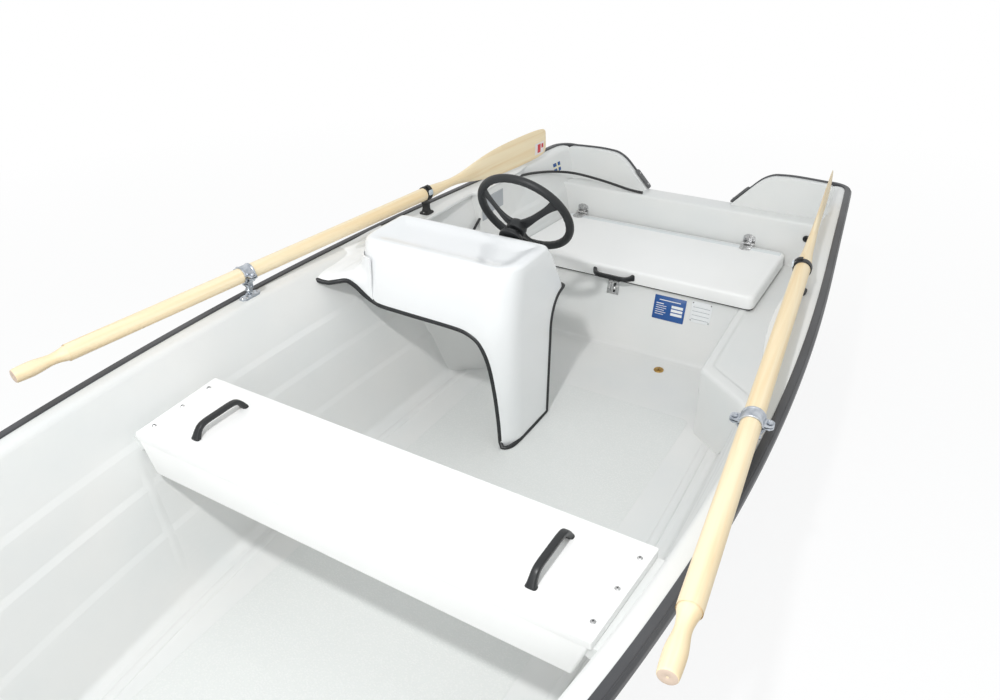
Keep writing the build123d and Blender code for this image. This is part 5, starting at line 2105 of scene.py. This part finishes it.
    def _hasp(self) -> Piece:
        """Turn-latch on the locker front.

        Returns:
            The dressed piece.
        """
        x = self.panel + 0.3
        plate = softened(block("plate", (x, x + 3), (-122.5, -72.5), (210.5, 263.5)), 1.5)
        turn = turned("turn", [(0, 9), (3, 9), (4.5, 7), (9, 6), (11, 3)], (x + 3, -90, 238), (1, 0, 0), 24)
        wing = softened(block("wing", (x + 6, x + 10.5), (-94, -86), (221, 257)), 2.0)
        bar = softened(block("bar", (x + 3, x + 8), (-115, -107), (218, 256)), 1.5)
        spots = [((x + 3, y, z), (1, 0, 0)) for y in (-117, -78) for z in (215, 259)]
        return self._leaned("latch", [wear(plate, "stainless"), wear(smooth(turn), "stainless"),
                                wear(wing, "handle_plastic"), wear(bar, "stainless"),
                                SCREWS.set("latch_screws", spots, 2.6, 1.3)])

    def _data_plate(self) -> Piece:
        """Blue plate with blank fields.

        Returns:
            The dressed piece.
        """
        x = self.panel + 0.3
        corners = [(80, 158, 3), (207, 158, 3), (207, 248, 3), (80, 248, 3)]
        plate = softened(slab("plate", rounded(corners, 4, True), x, x + 1.4, "x"), 0.4, 2)
        marks = ((152, 198, 209, 219), (152, 198, 195, 205), (152, 198, 181, 191), (100, 186, 231, 234),
                 (90, 120, 217, 220), (90, 132, 209, 211), (90, 132, 201, 203), (90, 124, 193, 195),
                 (90, 132, 185, 187), (90, 124, 177, 179))
        fields = [wear(block("field", (x + 1.3, x + 1.6), (y0, y1), (z0, z1)), "plate_white")
                  for y0, y1, z0, z1 in marks]
        return self._leaned("blue_plate", [wear(plate, "plate_blue")] + fields)

    def _slotted_plate(self) -> Piece:
        """White plate with raised ribs and corner screws.

        Returns:
            The dressed piece.
        """
        x = self.panel + 0.3
        corners = [(228, 177, 4), (308, 177, 4), (308, 255, 4), (228, 255, 4)]
        plate = softened(slab("plate", rounded(corners, 4, True), x, x + 1.6, "x"), 0.5, 2)
        parts = [wear(plate, "plate_white")]
        for level in (192, 207, 222, 237):
            rib = rounded([(235, level - 2, 1.5), (301, level - 2, 1.5), (301, level + 2, 1.5),
                           (235, level + 2, 1.5)], 3, True)
            parts.append(wear(softened(slab("rib", rib, x + 1, x + 3, "x"), 0.8, 2), "plate_white"))
            parts.append(wear(block("shade", (x + 1.5, x + 1.75), (235, 301), (level - 4.2, level - 2.2)),
                              "label_grey"))
        spots = [((x + 1.6, y, z), (1, 0, 0)) for y in (233, 303) for z in (183, 249)]
        return self._leaned("ribbed_plate", parts + [SCREWS.set("plate_screws", spots, 3, 1.3)])


@dataclass(frozen=True)
class Bow:
    """Foredeck, bow seat and its bulkhead."""

    deck: float = 3780.0
    seat: float = 3249.0
    seat_z: float = 330.0
    plate: float = 22.0

    def build(self) -> None:
        """Build and place the bow's pieces."""
        place(self._deck(), "liner_grey", "foredeck")
        place(self._seat(), "console_white", "bow_seat")
        place(self._bulkhead(), "liner_grey", "bow_bulkhead")

    def _deck(self) -> Piece:
        """Crowned deck with a rolled aft edge, carried on to the stem.

        Returns:
            The dressed piece.
        """
        rows = []
        roll = {self.deck: 16.0, self.deck + 1.5: 9.0, self.deck + 5: 4.0, self.deck + 12: 1.0}
        for x in list(roll) + stretch(self.deck + 25, LENGTH - 6, 40.0):
            s, back = LINES.at(x), roll.get(x, 0.0)
            half = s.sheer_y - 3
            row = []
            for step in range(17):
                y = half * (1 - step / 8)
                row.append((x, y, s.sheer_z + 0.9 - back + 9 * (1 - (y / half) ** 2)))
            low = max(half - 6, half * 0.6)
            row += [(x, -low, s.sheer_z - 26 + back * 0.3), (x, low, s.sheer_z - 26 + back * 0.3)]
            rows.append(row)
        return moulded("foredeck_moulding", rows, "liner_gelcoat", 50.0)

    def _seat(self) -> Piece:
        """Bow seat plate, fitted to the hull sides.

        Returns:
            The dressed piece.
        """
        rows = []
        roll = {self.seat: 9.0, self.seat + 2: 3.5, self.seat + 7: 0.8}
        for x in list(roll) + stretch(self.seat + 20, 4180.0, 60.0):
            drop = roll.get(x, 0.0)
            half = LINES.inner_y(x, self.seat_z) + 3
            low = LINES.inner_y(x, self.seat_z - self.plate) + 3
            top, under = self.seat_z - drop, self.seat_z - self.plate
            rows.append([(x, -half, top), (x, half, top), (x, low, under), (x, -low, under)])
        return moulded("bow_seat_moulding", rows, "seat_gelcoat", 40.0)

    def _bulkhead(self) -> Piece:
        """Bulkhead under the bow seat.

        Returns:
            The dressed piece.
        """
        rows = []
        for x in (self.seat + 20, self.seat + 40):
            half = [(y, z) for y, z in LINES.inner(x) if z < self.seat_z - 30]
            half.append((LINES.inner_y(x, self.seat_z - self.plate) + 3, self.seat_z - self.plate))
            rows.append([(x, y * 1.004, z - 2 if z < 40 else z) for y, z in across(half)])
        return moulded("bow_bulkhead_panel", rows, "liner_gelcoat", 40.0)


@dataclass(frozen=True)
class OarSet:
    """One stowed oar with its clamp, fork, socket, strap and holder.

    Attributes:
        side: Side of the boat.
        at: Middle of the clamp on the port side.
        toe: How far the blade lies towards the middle, in degrees.
        strap_x: Place of the strap.
    """

    side: Side
    at: Place = (1765.0, 759.257, 674.0)
    toe: float = 6.3
    strap_x: float = 968.0
    shaft: tuple[Flat, ...] = ((683.4, 16.4), (682.4, 17.4), (678, 18.3), (662, 19.2), (641, 19.6),
                               (624, 18.4), (608, 16.2), (594, 14.8), (580, 15.2), (566, 17.4), (554, 20.4),
                               (543, 22.4), (530, 23.0), (300, 23.0), (40, 23.0), (-40, 23.0), (-300, 23.0),
                               (-600, 23.0), (-780, 23.0), (-820, 22.4), (-860, 19.6), (-900, 16.4))
    blade: tuple[tuple[float, float, float], ...] = (
        (-940, 14.6, 15.4), (-975, 13.8, 17.6), (-1010, 12.8, 22.4), (-1050, 11.4, 30.0), (-1090, 10.2, 38.0),
        (-1135, 9.0, 46.0), (-1180, 8.0, 52.0), (-1240, 7.0, 57.2), (-1300, 6.2, 60.0), (-1380, 5.6, 61.4),
        (-1460, 5.1, 61.0), (-1510, 4.6, 58.6), (-1543, 4.2, 54.6), (-1557, 3.8, 49.6), (-1563.5, 3.0, 44.5),
        (-1567, 1.8, 39.0))

    def build(self) -> None:
        """Build and place the set."""
        name, body = self.side.label, f"oar_unit_{self.side.label}"
        place(self._oar(), "oar_pine", f"oar_{name}", body=body)
        place(self._clamp(), "zinc", f"oar_clamp_{name}", body=body)
        place(self._fork(), "zinc", f"rowlock_fork_{name}", body=body)
        place(self._socket(), "zinc", f"rowlock_socket_{name}")
        place(self._strap(), "strap_black", f"oar_strap_{name}", body=body)
        place(self._holder(), "strap_black", f"oar_holder_{name}")

    def spot(self, x: float, y: float, z: float) -> Place:
        """Boat place of a place along the oar, beside it and above it.

        Args:
            x: Distance along the oar, forward of the clamp's middle.
            y: Distance to port of the shaft.
            z: Height over the shaft.

        Returns:
            The place in the boat.
        """
        angle = math.radians(self.side.value * self.toe)
        c, s = math.cos(angle), math.sin(angle)
        return (self.at[0] + x * c - y * s, self.side.value * self.at[1] + x * s + y * c, self.at[2] + z)

    def aim(self, x: float, y: float, z: float) -> Place:
        """Boat direction of a direction in the oar's frame."""
        start, end = Vector(self.spot(0, 0, 0)), Vector(self.spot(x, y, z))
        return tuple(end - start)

    def _oar(self) -> Piece:
        """Turned shaft and grip that flatten into the upright blade.

        Returns:
            The dressed piece.
        """
        rows = []
        for x, radius in fair(self.shaft, 2):
            rows.append([self.spot(x, a, b) for a, b in oval(2 * radius, 2 * radius, 28)])
        for x, thick, wide in fair(self.blade, 3):
            rows.append([self.spot(x, a, b) for a, b in oval(2 * thick, 2 * wide, 28, 1.9)])
        wood = moulded("oar", rows, f"pine_{self.side.label}", 60.0)
        end = turned("end", [(-8.0, 2.0), (0.0, 2.2), (0.5, 3.0), (0.5, 15.6), (0.2, 16.3), (-0.5, 16.4)],
                     self.spot(683.4, 0, 0), self.aim(1, 0, 0), 28)
        pieces = [wood, smooth(wear(end, "pine_end"))]
        if self.side is Side.STARBOARD:
            pieces += [wear(self._patch(-1548, -1484, -44, 4, 0.5), "sticker_white"),
                       wear(self._patch(-1524, -1502, -38, -2, 0.9), "sticker_red"),
                       wear(self._patch(-1544, -1530, -22, -4, 0.9), "sticker_red")]
        return joined(f"oar_{self.side.label}_pine", pieces)

    def _patch(self, x0: float, x1: float, z0: float, z1: float, lift: float) -> Piece:
        """Blank label on the blade's inboard face, between two places along it and two heights.

        Args:
            x0: Aft end along the oar.
            x1: Forward end.
            z0: Lower edge over the shaft's middle.
            z1: Upper edge.
            lift: How far it stands off the blade.

        Returns:
            The undressed label.
        """
        places, thicks, wides = zip(*self.blade[::-1])
        thick_at, wide_at = natural_curve(places, thicks), natural_curve(places, wides)
        rows = []
        for along in range(3):
            x = x0 + (x1 - x0) * along / 2
            thick, wide = thick_at(x), wide_at(x)
            row = []
            for up in range(7):
                z = z0 + (z1 - z0) * up / 6
                face = thick * max(1 - abs(z / wide) ** 1.9, 0.0) ** (1 / 1.9)
                row.append(self.spot(x, -self.side.value * (face + lift), z))
            rows.append(row)
        return lofted("label", rows, ring=False, caps=False)

    def _ring(self, name: str, profile: Sequence[Flat], at_x: float = 0.0, first: float = 0.0,
              last: float = 360.0) -> Piece:
        """Band round the shaft.

        Args:
            name: Name of the piece.
            profile: Rows of place along the shaft and radius, as a closed outline.
            at_x: Middle of the band along the shaft.
            first: Angle where it starts, in degrees from the inboard side.
            last: Angle where it ends.

        Returns:
            The band.
        """
        whole = last - first >= 360
        count = 56 if whole else max(8, int((last - first) / 6))
        rows = []
        for step in range(count if whole else count + 1):
            angle = math.radians(first + (last - first) * step / count)
            rows.append([self.spot(at_x + a, radius * math.cos(angle), radius * math.sin(angle))
                         for a, radius in profile])
        return smooth(lofted(name, rows, looped=whole), 40.0)

    def _clamp(self) -> Piece:
        """Two-piece pipe clamp with rolled rims, lugs and hexagon bolts.

        Returns:
            The dressed piece.
        """
        profile = rounded([(-19, 23.2, 0), (-19, 27.4, 2), (-14, 27.4, 1.5), (-12, 25.9, 1.5),
                           (12, 25.9, 1.5), (14, 27.4, 1.5), (19, 27.4, 2), (19, 23.2, 0)], 3, True)
        parts = [self._ring("upper", profile, 0, 4, 176), self._ring("lower", profile, 0, 184, 356)]
        bolts, nuts = [], []
        for sign in (-1, 1):
            for low, high in ((1.2, 4.8), (-4.8, -1.2)):
                corners = [(-15, 24, 2), (15, 24, 2), (13, 40, 7), (8, 46.5, 7), (-8, 46.5, 7), (-13, 40, 7)]
                rows = [[self.spot(a, sign * b, z) for a, b in rounded(corners, 3, True)]
                        for z in (low, high)]
                parts.append(softened(lofted("lug", rows), 0.9, 2))
            stem = turned("stem", [(-13, 3.4), (-12.4, 4), (8.4, 4), (9, 3.4)], self.spot(0, sign * 36.5, 0),
                          (0, 0, 1), 16)
            parts.append(smooth(stem))
            bolts.append((self.spot(0, sign * 36.5, 6.6), (0, 0, 1)))
            nuts.append((self.spot(0, sign * 36.5, -6.6), (0, 0, -1)))
        dressed = [wear(part, "zinc") for part in parts]
        dressed.append(SCREWS.set("clamp_bolts", bolts, 7.6, 4.4, 6, "zinc", "zinc"))
        dressed.append(SCREWS.set("clamp_nuts", nuts, 7.6, 4.0, 6, "zinc", "zinc"))
        return joined(f"clamp_{self.side.label}", dressed)

    def _fork(self) -> Piece:
        """Forged cradle with its ears, bolts, collar and pin.

        Returns:
            The dressed piece.
        """
        profile = rounded([(-8, 27.7, 1), (-8, 32.6, 2.4), (8, 32.6, 2.4), (8, 27.7, 1)], 3, True)
        parts = [self._ring("cradle", profile, 0, 192, 348)]
        pin = [(-88, 4), (-86.5, 4.9), (-61, 4.9), (-60.4, 10.6), (-59.6, 11), (-51, 11), (-50, 10.2),
               (-49, 7), (-44, 7), (-40, 9), (-36, 13), (-31, 14)]
        parts.append(smooth(turned("pin", pin, self.spot(0, 0, 0), (0, 0, 1), 28), 30.0))
        bolts = []
        for sign in (-1, 1):
            corners = [(-7, -24, 2), (-7, -44, 5), (7, -44, 5), (7, -24, 2)]
            rows = [[self.spot(a, sign * y, z) for a, z in rounded(corners, 3, True)] for y in (13, 18.5)]
            parts.append(softened(lofted("ear", rows), 1.2, 2))
            bolts.append((self.spot(0, sign * 20.0, -37), self.aim(0, sign, 0)))
        dressed = [wear(part, "zinc") for part in parts]
        dressed.append(SCREWS.set("fork_bolts", bolts, 6.0, 4.0, 6, "zinc", "zinc"))
        return joined(f"fork_{self.side.label}", dressed)

    def _socket(self) -> Piece:
        """Flanged socket let into the gunwale.

        Returns:
            The dressed piece.
        """
        x, y = self.at[0], self.side.value * self.at[1]
        top = LINES.at(x).sheer_z
        corners = [(x - 37, y - 7, 7), (x - 26, y - 13.5, 7), (x + 26, y - 13.5, 7), (x + 37, y - 7, 7),
                   (x + 37, y + 7, 7), (x + 26, y + 13.5, 7), (x - 26, y + 13.5, 7), (x - 37, y + 7, 7)]
        plate = softened(slab("plate", rounded(corners, 3, True), top - 4, top + 5.5), 1.4, 3)
        rim = turned("rim", [(-17, 7.8), (5, 7.8), (5.2, 13.2), (8, 12.8), (9.6, 11), (9.8, 5.4), (-6, 5.3)],
                     (x, y, top), (0, 0, 1), 32)
        spots = [((x + dx, y + dy, top + 5.5), (0, 0, 1))
                 for dx, dy in ((-29, 0), (29, 0), (19, 8), (-19, -8))]
        return joined(f"socket_{self.side.label}", [wear(plate, "zinc"), wear(smooth(rim), "zinc"),
                                                    SCREWS.set("socket_screws", spots, 4.2, 2.2)])

    def _strap(self) -> Piece:
        """Rubber strap round the shaft, with its buckle and tail.

        Returns:
            The dressed piece.
        """
        back = -(self.at[0] - self.strap_x) / math.cos(math.radians(self.toe))
        profile = rounded([(-11, 20.6, 1), (-11, 26.4, 2), (11, 26.4, 2), (11, 20.6, 1)], 3, True)
        band = self._ring("band", profile, back)
        inboard = -self.side.value
        tail = [(back - 1, inboard * 26.5, -2), (back - 2, inboard * 27.5, 8), (back - 3, inboard * 24, 19),
                (back - 4, inboard * 15, 27.5), (back - 4, inboard * 3, 30)]
        spots = [self.spot(*row) for row in fair(tail, 4)]
        strip = swept("tail", spots, lambda share: oval(3.2, 18 - 4 * share, 12, 4), self.aim(1, 0, 0))
        corners = [(-9, -9, 2.5), (9, -9, 2.5), (9, 9, 2.5), (-9, 9, 2.5)]
        rows = [[self.spot(back + a, inboard * (25 + level), b + 10) for a, b in rounded(corners, 3, True)]
                for level in (0.0, 5.5)]
        buckle = softened(lofted("buckle", rows), 1.4, 2)
        return joined(f"strap_{self.side.label}",
                      [wear(band, "strap_rubber"), wear(smooth(strip), "strap_rubber"),
                       wear(buckle, "buckle_white")])

    def _holder(self) -> Piece:
        """Rubber holder on the gunwale: foot, waist and cradle.

        Returns:
            The dressed piece.
        """
        inset = (self.at[0] - self.strap_x) * math.tan(math.radians(self.toe))
        y = self.side.value * (self.at[1] - inset)
        base = LINES.at(self.strap_x).sheer_z + 0.6
        rows = []
        for z, long, wide in ((0, 46, 42), (4, 46, 42), (6.5, 42, 38), (9, 26, 30), (20, 20, 26),
                              (32, 20, 27), (40, 24, 30), (42.5, 23, 29)):
            rows.append([(self.strap_x + a, y + self.side.value * 2 + b, base + z)
                         for a, b in oval(long, wide, 28, 4.5)])
        post = moulded("post", rows, "strap_rubber", 40.0)
        spots = [((self.strap_x + dx, y + self.side.value * 2, base + 6.5), (0, 0, 1)) for dx in (-17, 17)]
        return joined(f"holder_{self.side.label}", [post, SCREWS.set("holder_screws", spots, 3.2, 1.6)])


class OarSets:
    """Both oars."""

    def build(self) -> None:
        """Build and place the port and the starboard set."""
        for side in Side:
            OarSet(side).build()


@dataclass(frozen=True)
class Cable:
    """Steering cable from the dash to the motor notch."""

    radius: float = 5.5
    route: tuple[Place, ...] = (
        (1104.0, -330.0, 562.0), (1204.0, -420.0, 500.0), (1190.0, -545.0, 415.0), (1075.0, -588.0, 360.0),
        (940.0, -602.0, 375.0), (810.0, -609.0, 428.0), (690.0, -621.0, 490.0), (590.0, -619.0, 540.0),
        (480.0, -612.0, 574.0), (380.0, -601.0, 573.0), (265.0, -584.0, 551.0), (165.0, -562.0, 527.0),
        (95.0, -505.0, 508.0), (84.0, -405.0, 495.0), (81.0, -300.0, 478.0), (78.0, -235.0, 464.5),
        (76.0, -182.0, 463.0))

    def build(self) -> None:
        """Build and place the cable."""
        curve = bpy.data.curves.new("cable", "CURVE")
        curve.dimensions = "3D"
        line = curve.splines.new("NURBS")
        line.points.add(len(self.route) - 1)
        for point, spot in zip(line.points, self.route):
            point.co = (*boat(*spot), 1.0)
        line.order_u = 3
        line.use_endpoint_u = True
        line.resolution_u = 12
        curve.bevel_depth = self.radius / 1000
        curve.bevel_resolution = 6
        curve.use_fill_caps = True
        obj = linked("helm_cable", curve)
        obj.data.materials.append(PALETTE.materials["cable_sheath"])
        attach(obj, "boat")
        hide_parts("steering_cable")


@dataclass(frozen=True)
class Fittings:
    """Grit on the sole, its ribs, the drain plug, the grommet and the stickers."""

    grit: tuple[float, float, float] = (945.0, 3080.0, 388.0)
    sole: float = 10.0
    frame_half: float = 17.0
    frame_rise: float = 1.3

    def build(self) -> None:
        """Build and place the small things."""
        place(self._grit(), "liner_grey")
        for side in Side:
            place(self._rib(side), "liner_grey")
            place(self._frame(side), "liner_grey")
        place(self._drain(), "brass", "drain_plug")
        place(self._grommet(), "handle_black", "transom_grommet")
        place(self._sticker(), "plate_blue")

    def _grit(self) -> Piece:
        """Raised non-slip field with a soft border.

        Returns:
            The dressed piece.
        """
        aft, front, half = self.grit
        def half_at(x: float) -> float:
            """Half the field's width at a place."""
            return min(half, LINES.inner_corners(x)[1][0] - 28)

        rows, places = [], (1990.0, 2400.0, 2700.0, 2900.0)
        for inset, rise in ((0, -0.5), (0, 0.2), (3, 1.0), (8, 1.2)):
            tip = half_at(front) - inset
            edge = [(aft + inset, -half + inset, 30), (aft + inset, half - inset, 30)]
            edge += [(x, half_at(x) - inset, 0) for x in places]
            edge += [(front - inset, tip, 30), (front - inset, -tip, 30)]
            edge += [(x, -half_at(x) + inset, 0) for x in reversed(places)]
            rows.append([(x, y, self.sole + rise) for x, y in rounded(edge, 5, True)])
        return moulded("sole_grip", rows, "sole_grit", 50.0)

    def _rib(self, side: Side) -> Piece:
        """Moulded rib along the foot of the side.

        Args:
            side: Side of the boat.

        Returns:
            The dressed piece.
        """
        path = [(x, side.value * (LINES.inner_corners(x)[1][0] - 30), self.sole - 1.2)
                for x in stretch(1010.0, 3000.0, 60.0, 15.0, 60.0)]

        def outline(share: float) -> list[Flat]:
            """Low round back that fades at both ends.

            Args:
                share: Share of the rib's length.

            Returns:
                The closed outline.
            """
            fade = min(1.0, 0.15 + 8 * min(share, 1 - share))
            return oval(30, 10 * fade, 16, 2.2)

        return smooth(wear(swept(f"sole_rib_{side.label}", path, outline), "liner_gelcoat"), 60.0)

    def _frame(self, side: Side) -> Piece:
        """Faint moulded rib up the side, forward of the thwart.

        Args:
            side: Side of the boat.

        Returns:
            The dressed piece.
        """
        rows = []
        for step in range(25):
            z = 395.0 - 14.0 * step
            x = 2315.0 + (395.0 - z) * 0.087
            row = []
            for share in (-1.0, -0.7, -0.35, 0.0, 0.35, 0.7, 1.0):
                rise = self.frame_rise * (1 - share ** 2) ** 2 * min(1.0, step / 4, (24 - step) / 4) - 0.15
                near = x + self.frame_half * share
                row.append((near, side.value * (LINES.inner_y(near, z) - rise), z + 0.4 * rise))
            rows.append(row)
        return moulded(f"side_frame_{side.label}", rows, "liner_gelcoat", 75.0, ring=False, caps=False)

    def _drain(self) -> Piece:
        """Screwed drain plug with a coin slot, whose dark block is painted shade.

        Returns:
            The dressed piece.
        """
        at = (690.0, 172.0, self.sole)
        profile = [(-1, 19), (2.4, 19), (3.6, 18.2), (4.2, 16.5), (4.2, 13), (3.2, 12.4), (3.2, 9),
                   (5.8, 8.4), (6.1, 7.8), (6.1, 1)]
        plug = smooth(wear(turned("plug", profile, at, (0, 0, 1), 40), "brass"), 30.0)
        # The coin slot is a dark block: painted shade standing for the slot's hollow.
        slot = wear(block("slot", (at[0] - 7, at[0] + 7), (at[1] - 1, at[1] + 1), (at[2] + 5.4, at[2] + 6.3)),
                    "dark_gap")
        return joined("drain", [plug, slot])

    def _grommet(self) -> Piece:
        """Cable grommet on the core's face.

        Returns:
            The dressed piece.
        """
        at = (ON_CORE, 520.0, 395.0)
        rows = []
        for step in range(36):
            angle = 2 * math.pi * step / 36
            rows.append([(at[0] + 3 + b, at[1] + (11 + a) * math.cos(angle),
                          at[2] + (11 + a) * math.sin(angle)) for a, b in oval(6.2, 6.0, 12)])
        ring = moulded("ring", rows, "handle_plastic", 60.0, looped=True)
        # The hole is a dark disc: painted shade standing for the hole's shadowed inside.
        hole = wear(turned("hole", [(0, 8.4), (0.8, 8.4), (1.0, 1)], at, (1, 0, 0), 24), "dark_gap")
        return joined("grommet", [ring, hole])

    def _sticker(self) -> Piece:
        """Small sticker on the starboard side: a pale cross between blue corners.

        Returns:
            The dressed piece.
        """
        def patch(x0: float, x1: float, z0: float, z1: float, lift: float) -> list[list[Place]]:
            """Grid of places that follows the hull side.

            Args:
                x0: Aft end.
                x1: Forward end.
                z0: Lower edge.
                z1: Upper edge.
                lift: How far it stands off the side.

            Returns:
                Rows of places.
            """
            places = [(x0 + (x1 - x0) * step / 3, z0 + (z1 - z0) * step / 3) for step in range(4)]
            return [[(x, -(LINES.inner_y(x, z) - lift), z) for _, z in places] for x, _ in places]

        pieces = []
        for index, (x0, x1, z0, z1) in enumerate(((98, 150, 514, 552), (98, 116, 514, 528),
                                                  (98, 116, 537, 552), (126, 150, 514, 528),
                                                  (126, 150, 537, 552))):
            part = lofted("patch", patch(x0, x1, z0, z1, 1.0 if index == 0 else 1.5), ring=False, caps=False)
            pieces.append(wear(part, "band_pale" if index == 0 else "plate_blue"))
        return joined("side_sticker", pieces)


REST_FINISHES = {"hull_white": "hull_gelcoat", "liner_grey": "liner_gelcoat",
                 "console_white": "console_gelcoat", "rail_black": "rail_rubber", "trim_black": "edge_rubber",
                 "handle_black": "handle_plastic", "wheel_black": "wheel_foam", "oar_pine": "pine_port",
                 "zinc": "zinc", "stainless": "stainless", "brass": "brass", "plate_blue": "plate_blue",
                 "plate_white": "plate_white", "label_grey": "label_grey", "strap_black": "strap_rubber",
                 "cable_black": "cable_sheath"}


def dress_the_rest() -> None:
    """Give each CAD node that still shows the finish of its slot."""
    slots = {row["node"]: row["material_slot"] for row in frame["record"]["subparts"]}
    for name, obj in frame["nodes"].items():
        for entry in obj.material_slots:
            entry.material = PALETTE.materials[REST_FINISHES[slots[name]]]


ASSEMBLIES = (Hull, Transom, Rails, SideDecks, Console, Helm, Thwart, Locker, Bow, OarSets,
              Cable, Fittings)


# ---- Studio --------------------------------------------------------------------------------------


WHITE = (1.0, 1.0, 1.0, 1.0)


@dataclass(frozen=True)
class Studio:
    """Camera, lamps, world and floor."""

    eye: Place = (1.0274, 1.0423, 1.7079)
    right: Place = (-0.51968, 0.85385, -0.02908)
    rise: Place = (-0.45870, -0.25014, 0.85263)
    ahead: Place = (-0.72076, -0.45644, -0.52167)
    lens: float = 28.88
    floor_half: float = 14.0
    room: tuple[float, float, float, float] = (0.955, 0.985, 1.0, 1.0)
    room_strength: float = 0.7
    floor_grey: tuple[float, float, float, float] = (0.62, 0.62, 0.62, 1.0)
    shadow_reach: Flat = (1.8, 5.0)
    shadow_share: float = 0.16

    def camera(self) -> None:
        """Set the camera."""
        data = bpy.data.cameras.new("camera")
        data.sensor_width = 36.0
        data.lens = self.lens
        data.clip_start = 0.01
        camera = linked("camera", data)
        turn = Matrix((self.right, self.rise, [-part for part in self.ahead])).transposed()
        camera.matrix_world = Matrix.Translation(self.eye) @ turn.to_4x4()
        bpy.context.scene.camera = camera
        bpy.context.scene.view_settings.view_transform = "Standard"

    def _lamp(self, name: str, spot: Place, target: Place, size: float, power: float) -> None:
        """Set a soft square lamp that faces a target.

        Args:
            name: Name of the lamp.
            spot: Where it stands, in metres.
            target: What it faces.
            size: Width of its square.
            power: Its power in watts.
        """
        data = bpy.data.lights.new(name, "AREA")
        data.shape = "SQUARE"
        data.size = size
        data.energy = power
        lamp = linked(name, data)
        aim = (Vector(target) - Vector(spot)).to_track_quat("-Z", "Y")
        lamp.matrix_world = Matrix.Translation(spot) @ aim.to_matrix().to_4x4()

    @staticmethod
    def _seen(graph: Graph, *rays: str) -> Socket:
        """Whether a ray comes from the camera or is of a kind named, as 1 or 0.

        Args:
            graph: The tree that asks.
            rays: Outputs of the light path that count besides the camera's.

        Returns:
            The answer's socket.
        """
        path = graph.add("ShaderNodeLightPath")
        seen = path.outputs["Is Camera Ray"]
        for ray in rays:
            seen = graph.math("MAXIMUM", seen, path.outputs[ray])
        return seen

    def lights(self) -> None:
        """Set the lamps and the world."""
        self._lamp("key_panel", (1.3, 0.5, 3.0), (0.2, 0.0, 0.2), 0.16, 48.0)
        self._lamp("fore_panel", (5.2, 1.2, 2.2), (-0.3, 0.0, 0.4), 3.0, 64.0)
        world = bpy.data.worlds.new("room")
        world.use_nodes = True
        bpy.context.scene.world = world
        graph = Graph(world.node_tree)
        seen = self._seen(graph, "Is Glossy Ray", "Is Transmission Ray")
        room = world.node_tree.nodes["Background"]
        room.inputs["Color"].default_value = self.room
        room.inputs["Strength"].default_value = self.room_strength
        white = graph.add("ShaderNodeBackground", {"Color": WHITE, "Strength": 1.0})
        mix = graph.add("ShaderNodeMixShader", {0: seen, 1: room.outputs[0], 2: white.outputs[0]})
        world.node_tree.links.new(mix.outputs[0], world.node_tree.nodes["World Output"].inputs[0])

    def floor(self) -> None:
        """Lay the floor at the waterline, with a hole inside the hull's outline."""
        hole = []
        for side in Side:
            places = stretch(0.0, 4080.0, 120.0)
            row = []
            for x in places if side is Side.PORT else reversed(places):
                outline = LINES.outer(x)
                y = next((b + (0 - a) / (d - a) * (c - b) for (b, a), (c, d) in zip(outline, outline[1:])
                          if a <= 0 <= d and d > a), 4.0)
                row.append((x, side.value * max(y - 3, 1.0)))
            hole += row
        count = len(hole)
        middle = (LENGTH / 2, 0.0)
        rim = []
        for x, y in hole:
            angle = math.atan2(y - middle[1], x - middle[0])
            rim.append((middle[0] + 1000 * self.floor_half * math.cos(angle),
                        1000 * self.floor_half * math.sin(angle)))
        mesh = bpy.data.meshes.new("floor")
        faces = [(i, (i + 1) % count, count + (i + 1) % count, count + i) for i in range(count)]
        mesh.from_pydata([boat(x, y, 0) for x, y in hole + rim], [], faces)
        obj = linked("floor", mesh)
        material = bpy.data.materials.new("pale_floor")
        material.use_nodes = True
        graph = Graph(material.node_tree)
        plain = material.node_tree.nodes["Principled BSDF"]
        plain.inputs["Base Color"].default_value = self.floor_grey
        plain.inputs["Roughness"].default_value = 0.9
        plain.inputs["Specular IOR Level"].default_value = 0.1
        away = graph.add("ShaderNodeVectorMath", {0: graph.place()}, operation="LENGTH").outputs["Value"]
        shadow = graph.span(away, self.shadow_reach, (self.shadow_share, 0.0))
        white = graph.add("ShaderNodeEmission", {"Color": WHITE, "Strength": 1.0})
        matt = graph.add("ShaderNodeBsdfDiffuse", {"Color": WHITE})
        backdrop = graph.add("ShaderNodeMixShader", {0: shadow, 1: white.outputs[0], 2: matt.outputs[0]})
        shown = graph.add("ShaderNodeMixShader", {0: self._seen(graph, "Is Glossy Ray"), 1: plain.outputs[0],
                                                  2: backdrop.outputs[0]})
        material.node_tree.links.new(shown.outputs[0], material.node_tree.nodes["Material Output"].inputs[0])
        obj.data.materials.append(material)

    def build(self) -> None:
        """Set the whole studio."""
        self.camera()
        self.lights()
        self.floor()


def main() -> None:
    """Build the studio and every part of the boat, and give the remaining CAD nodes their finishes."""
    logging.basicConfig(level=logging.INFO, format="%(name)s: %(message)s")
    Studio().build()
    for part in ASSEMBLIES:
        part().build()
        log.info("%s done", part.__name__)
    dress_the_rest()


if __name__ == "__main__":
    main()
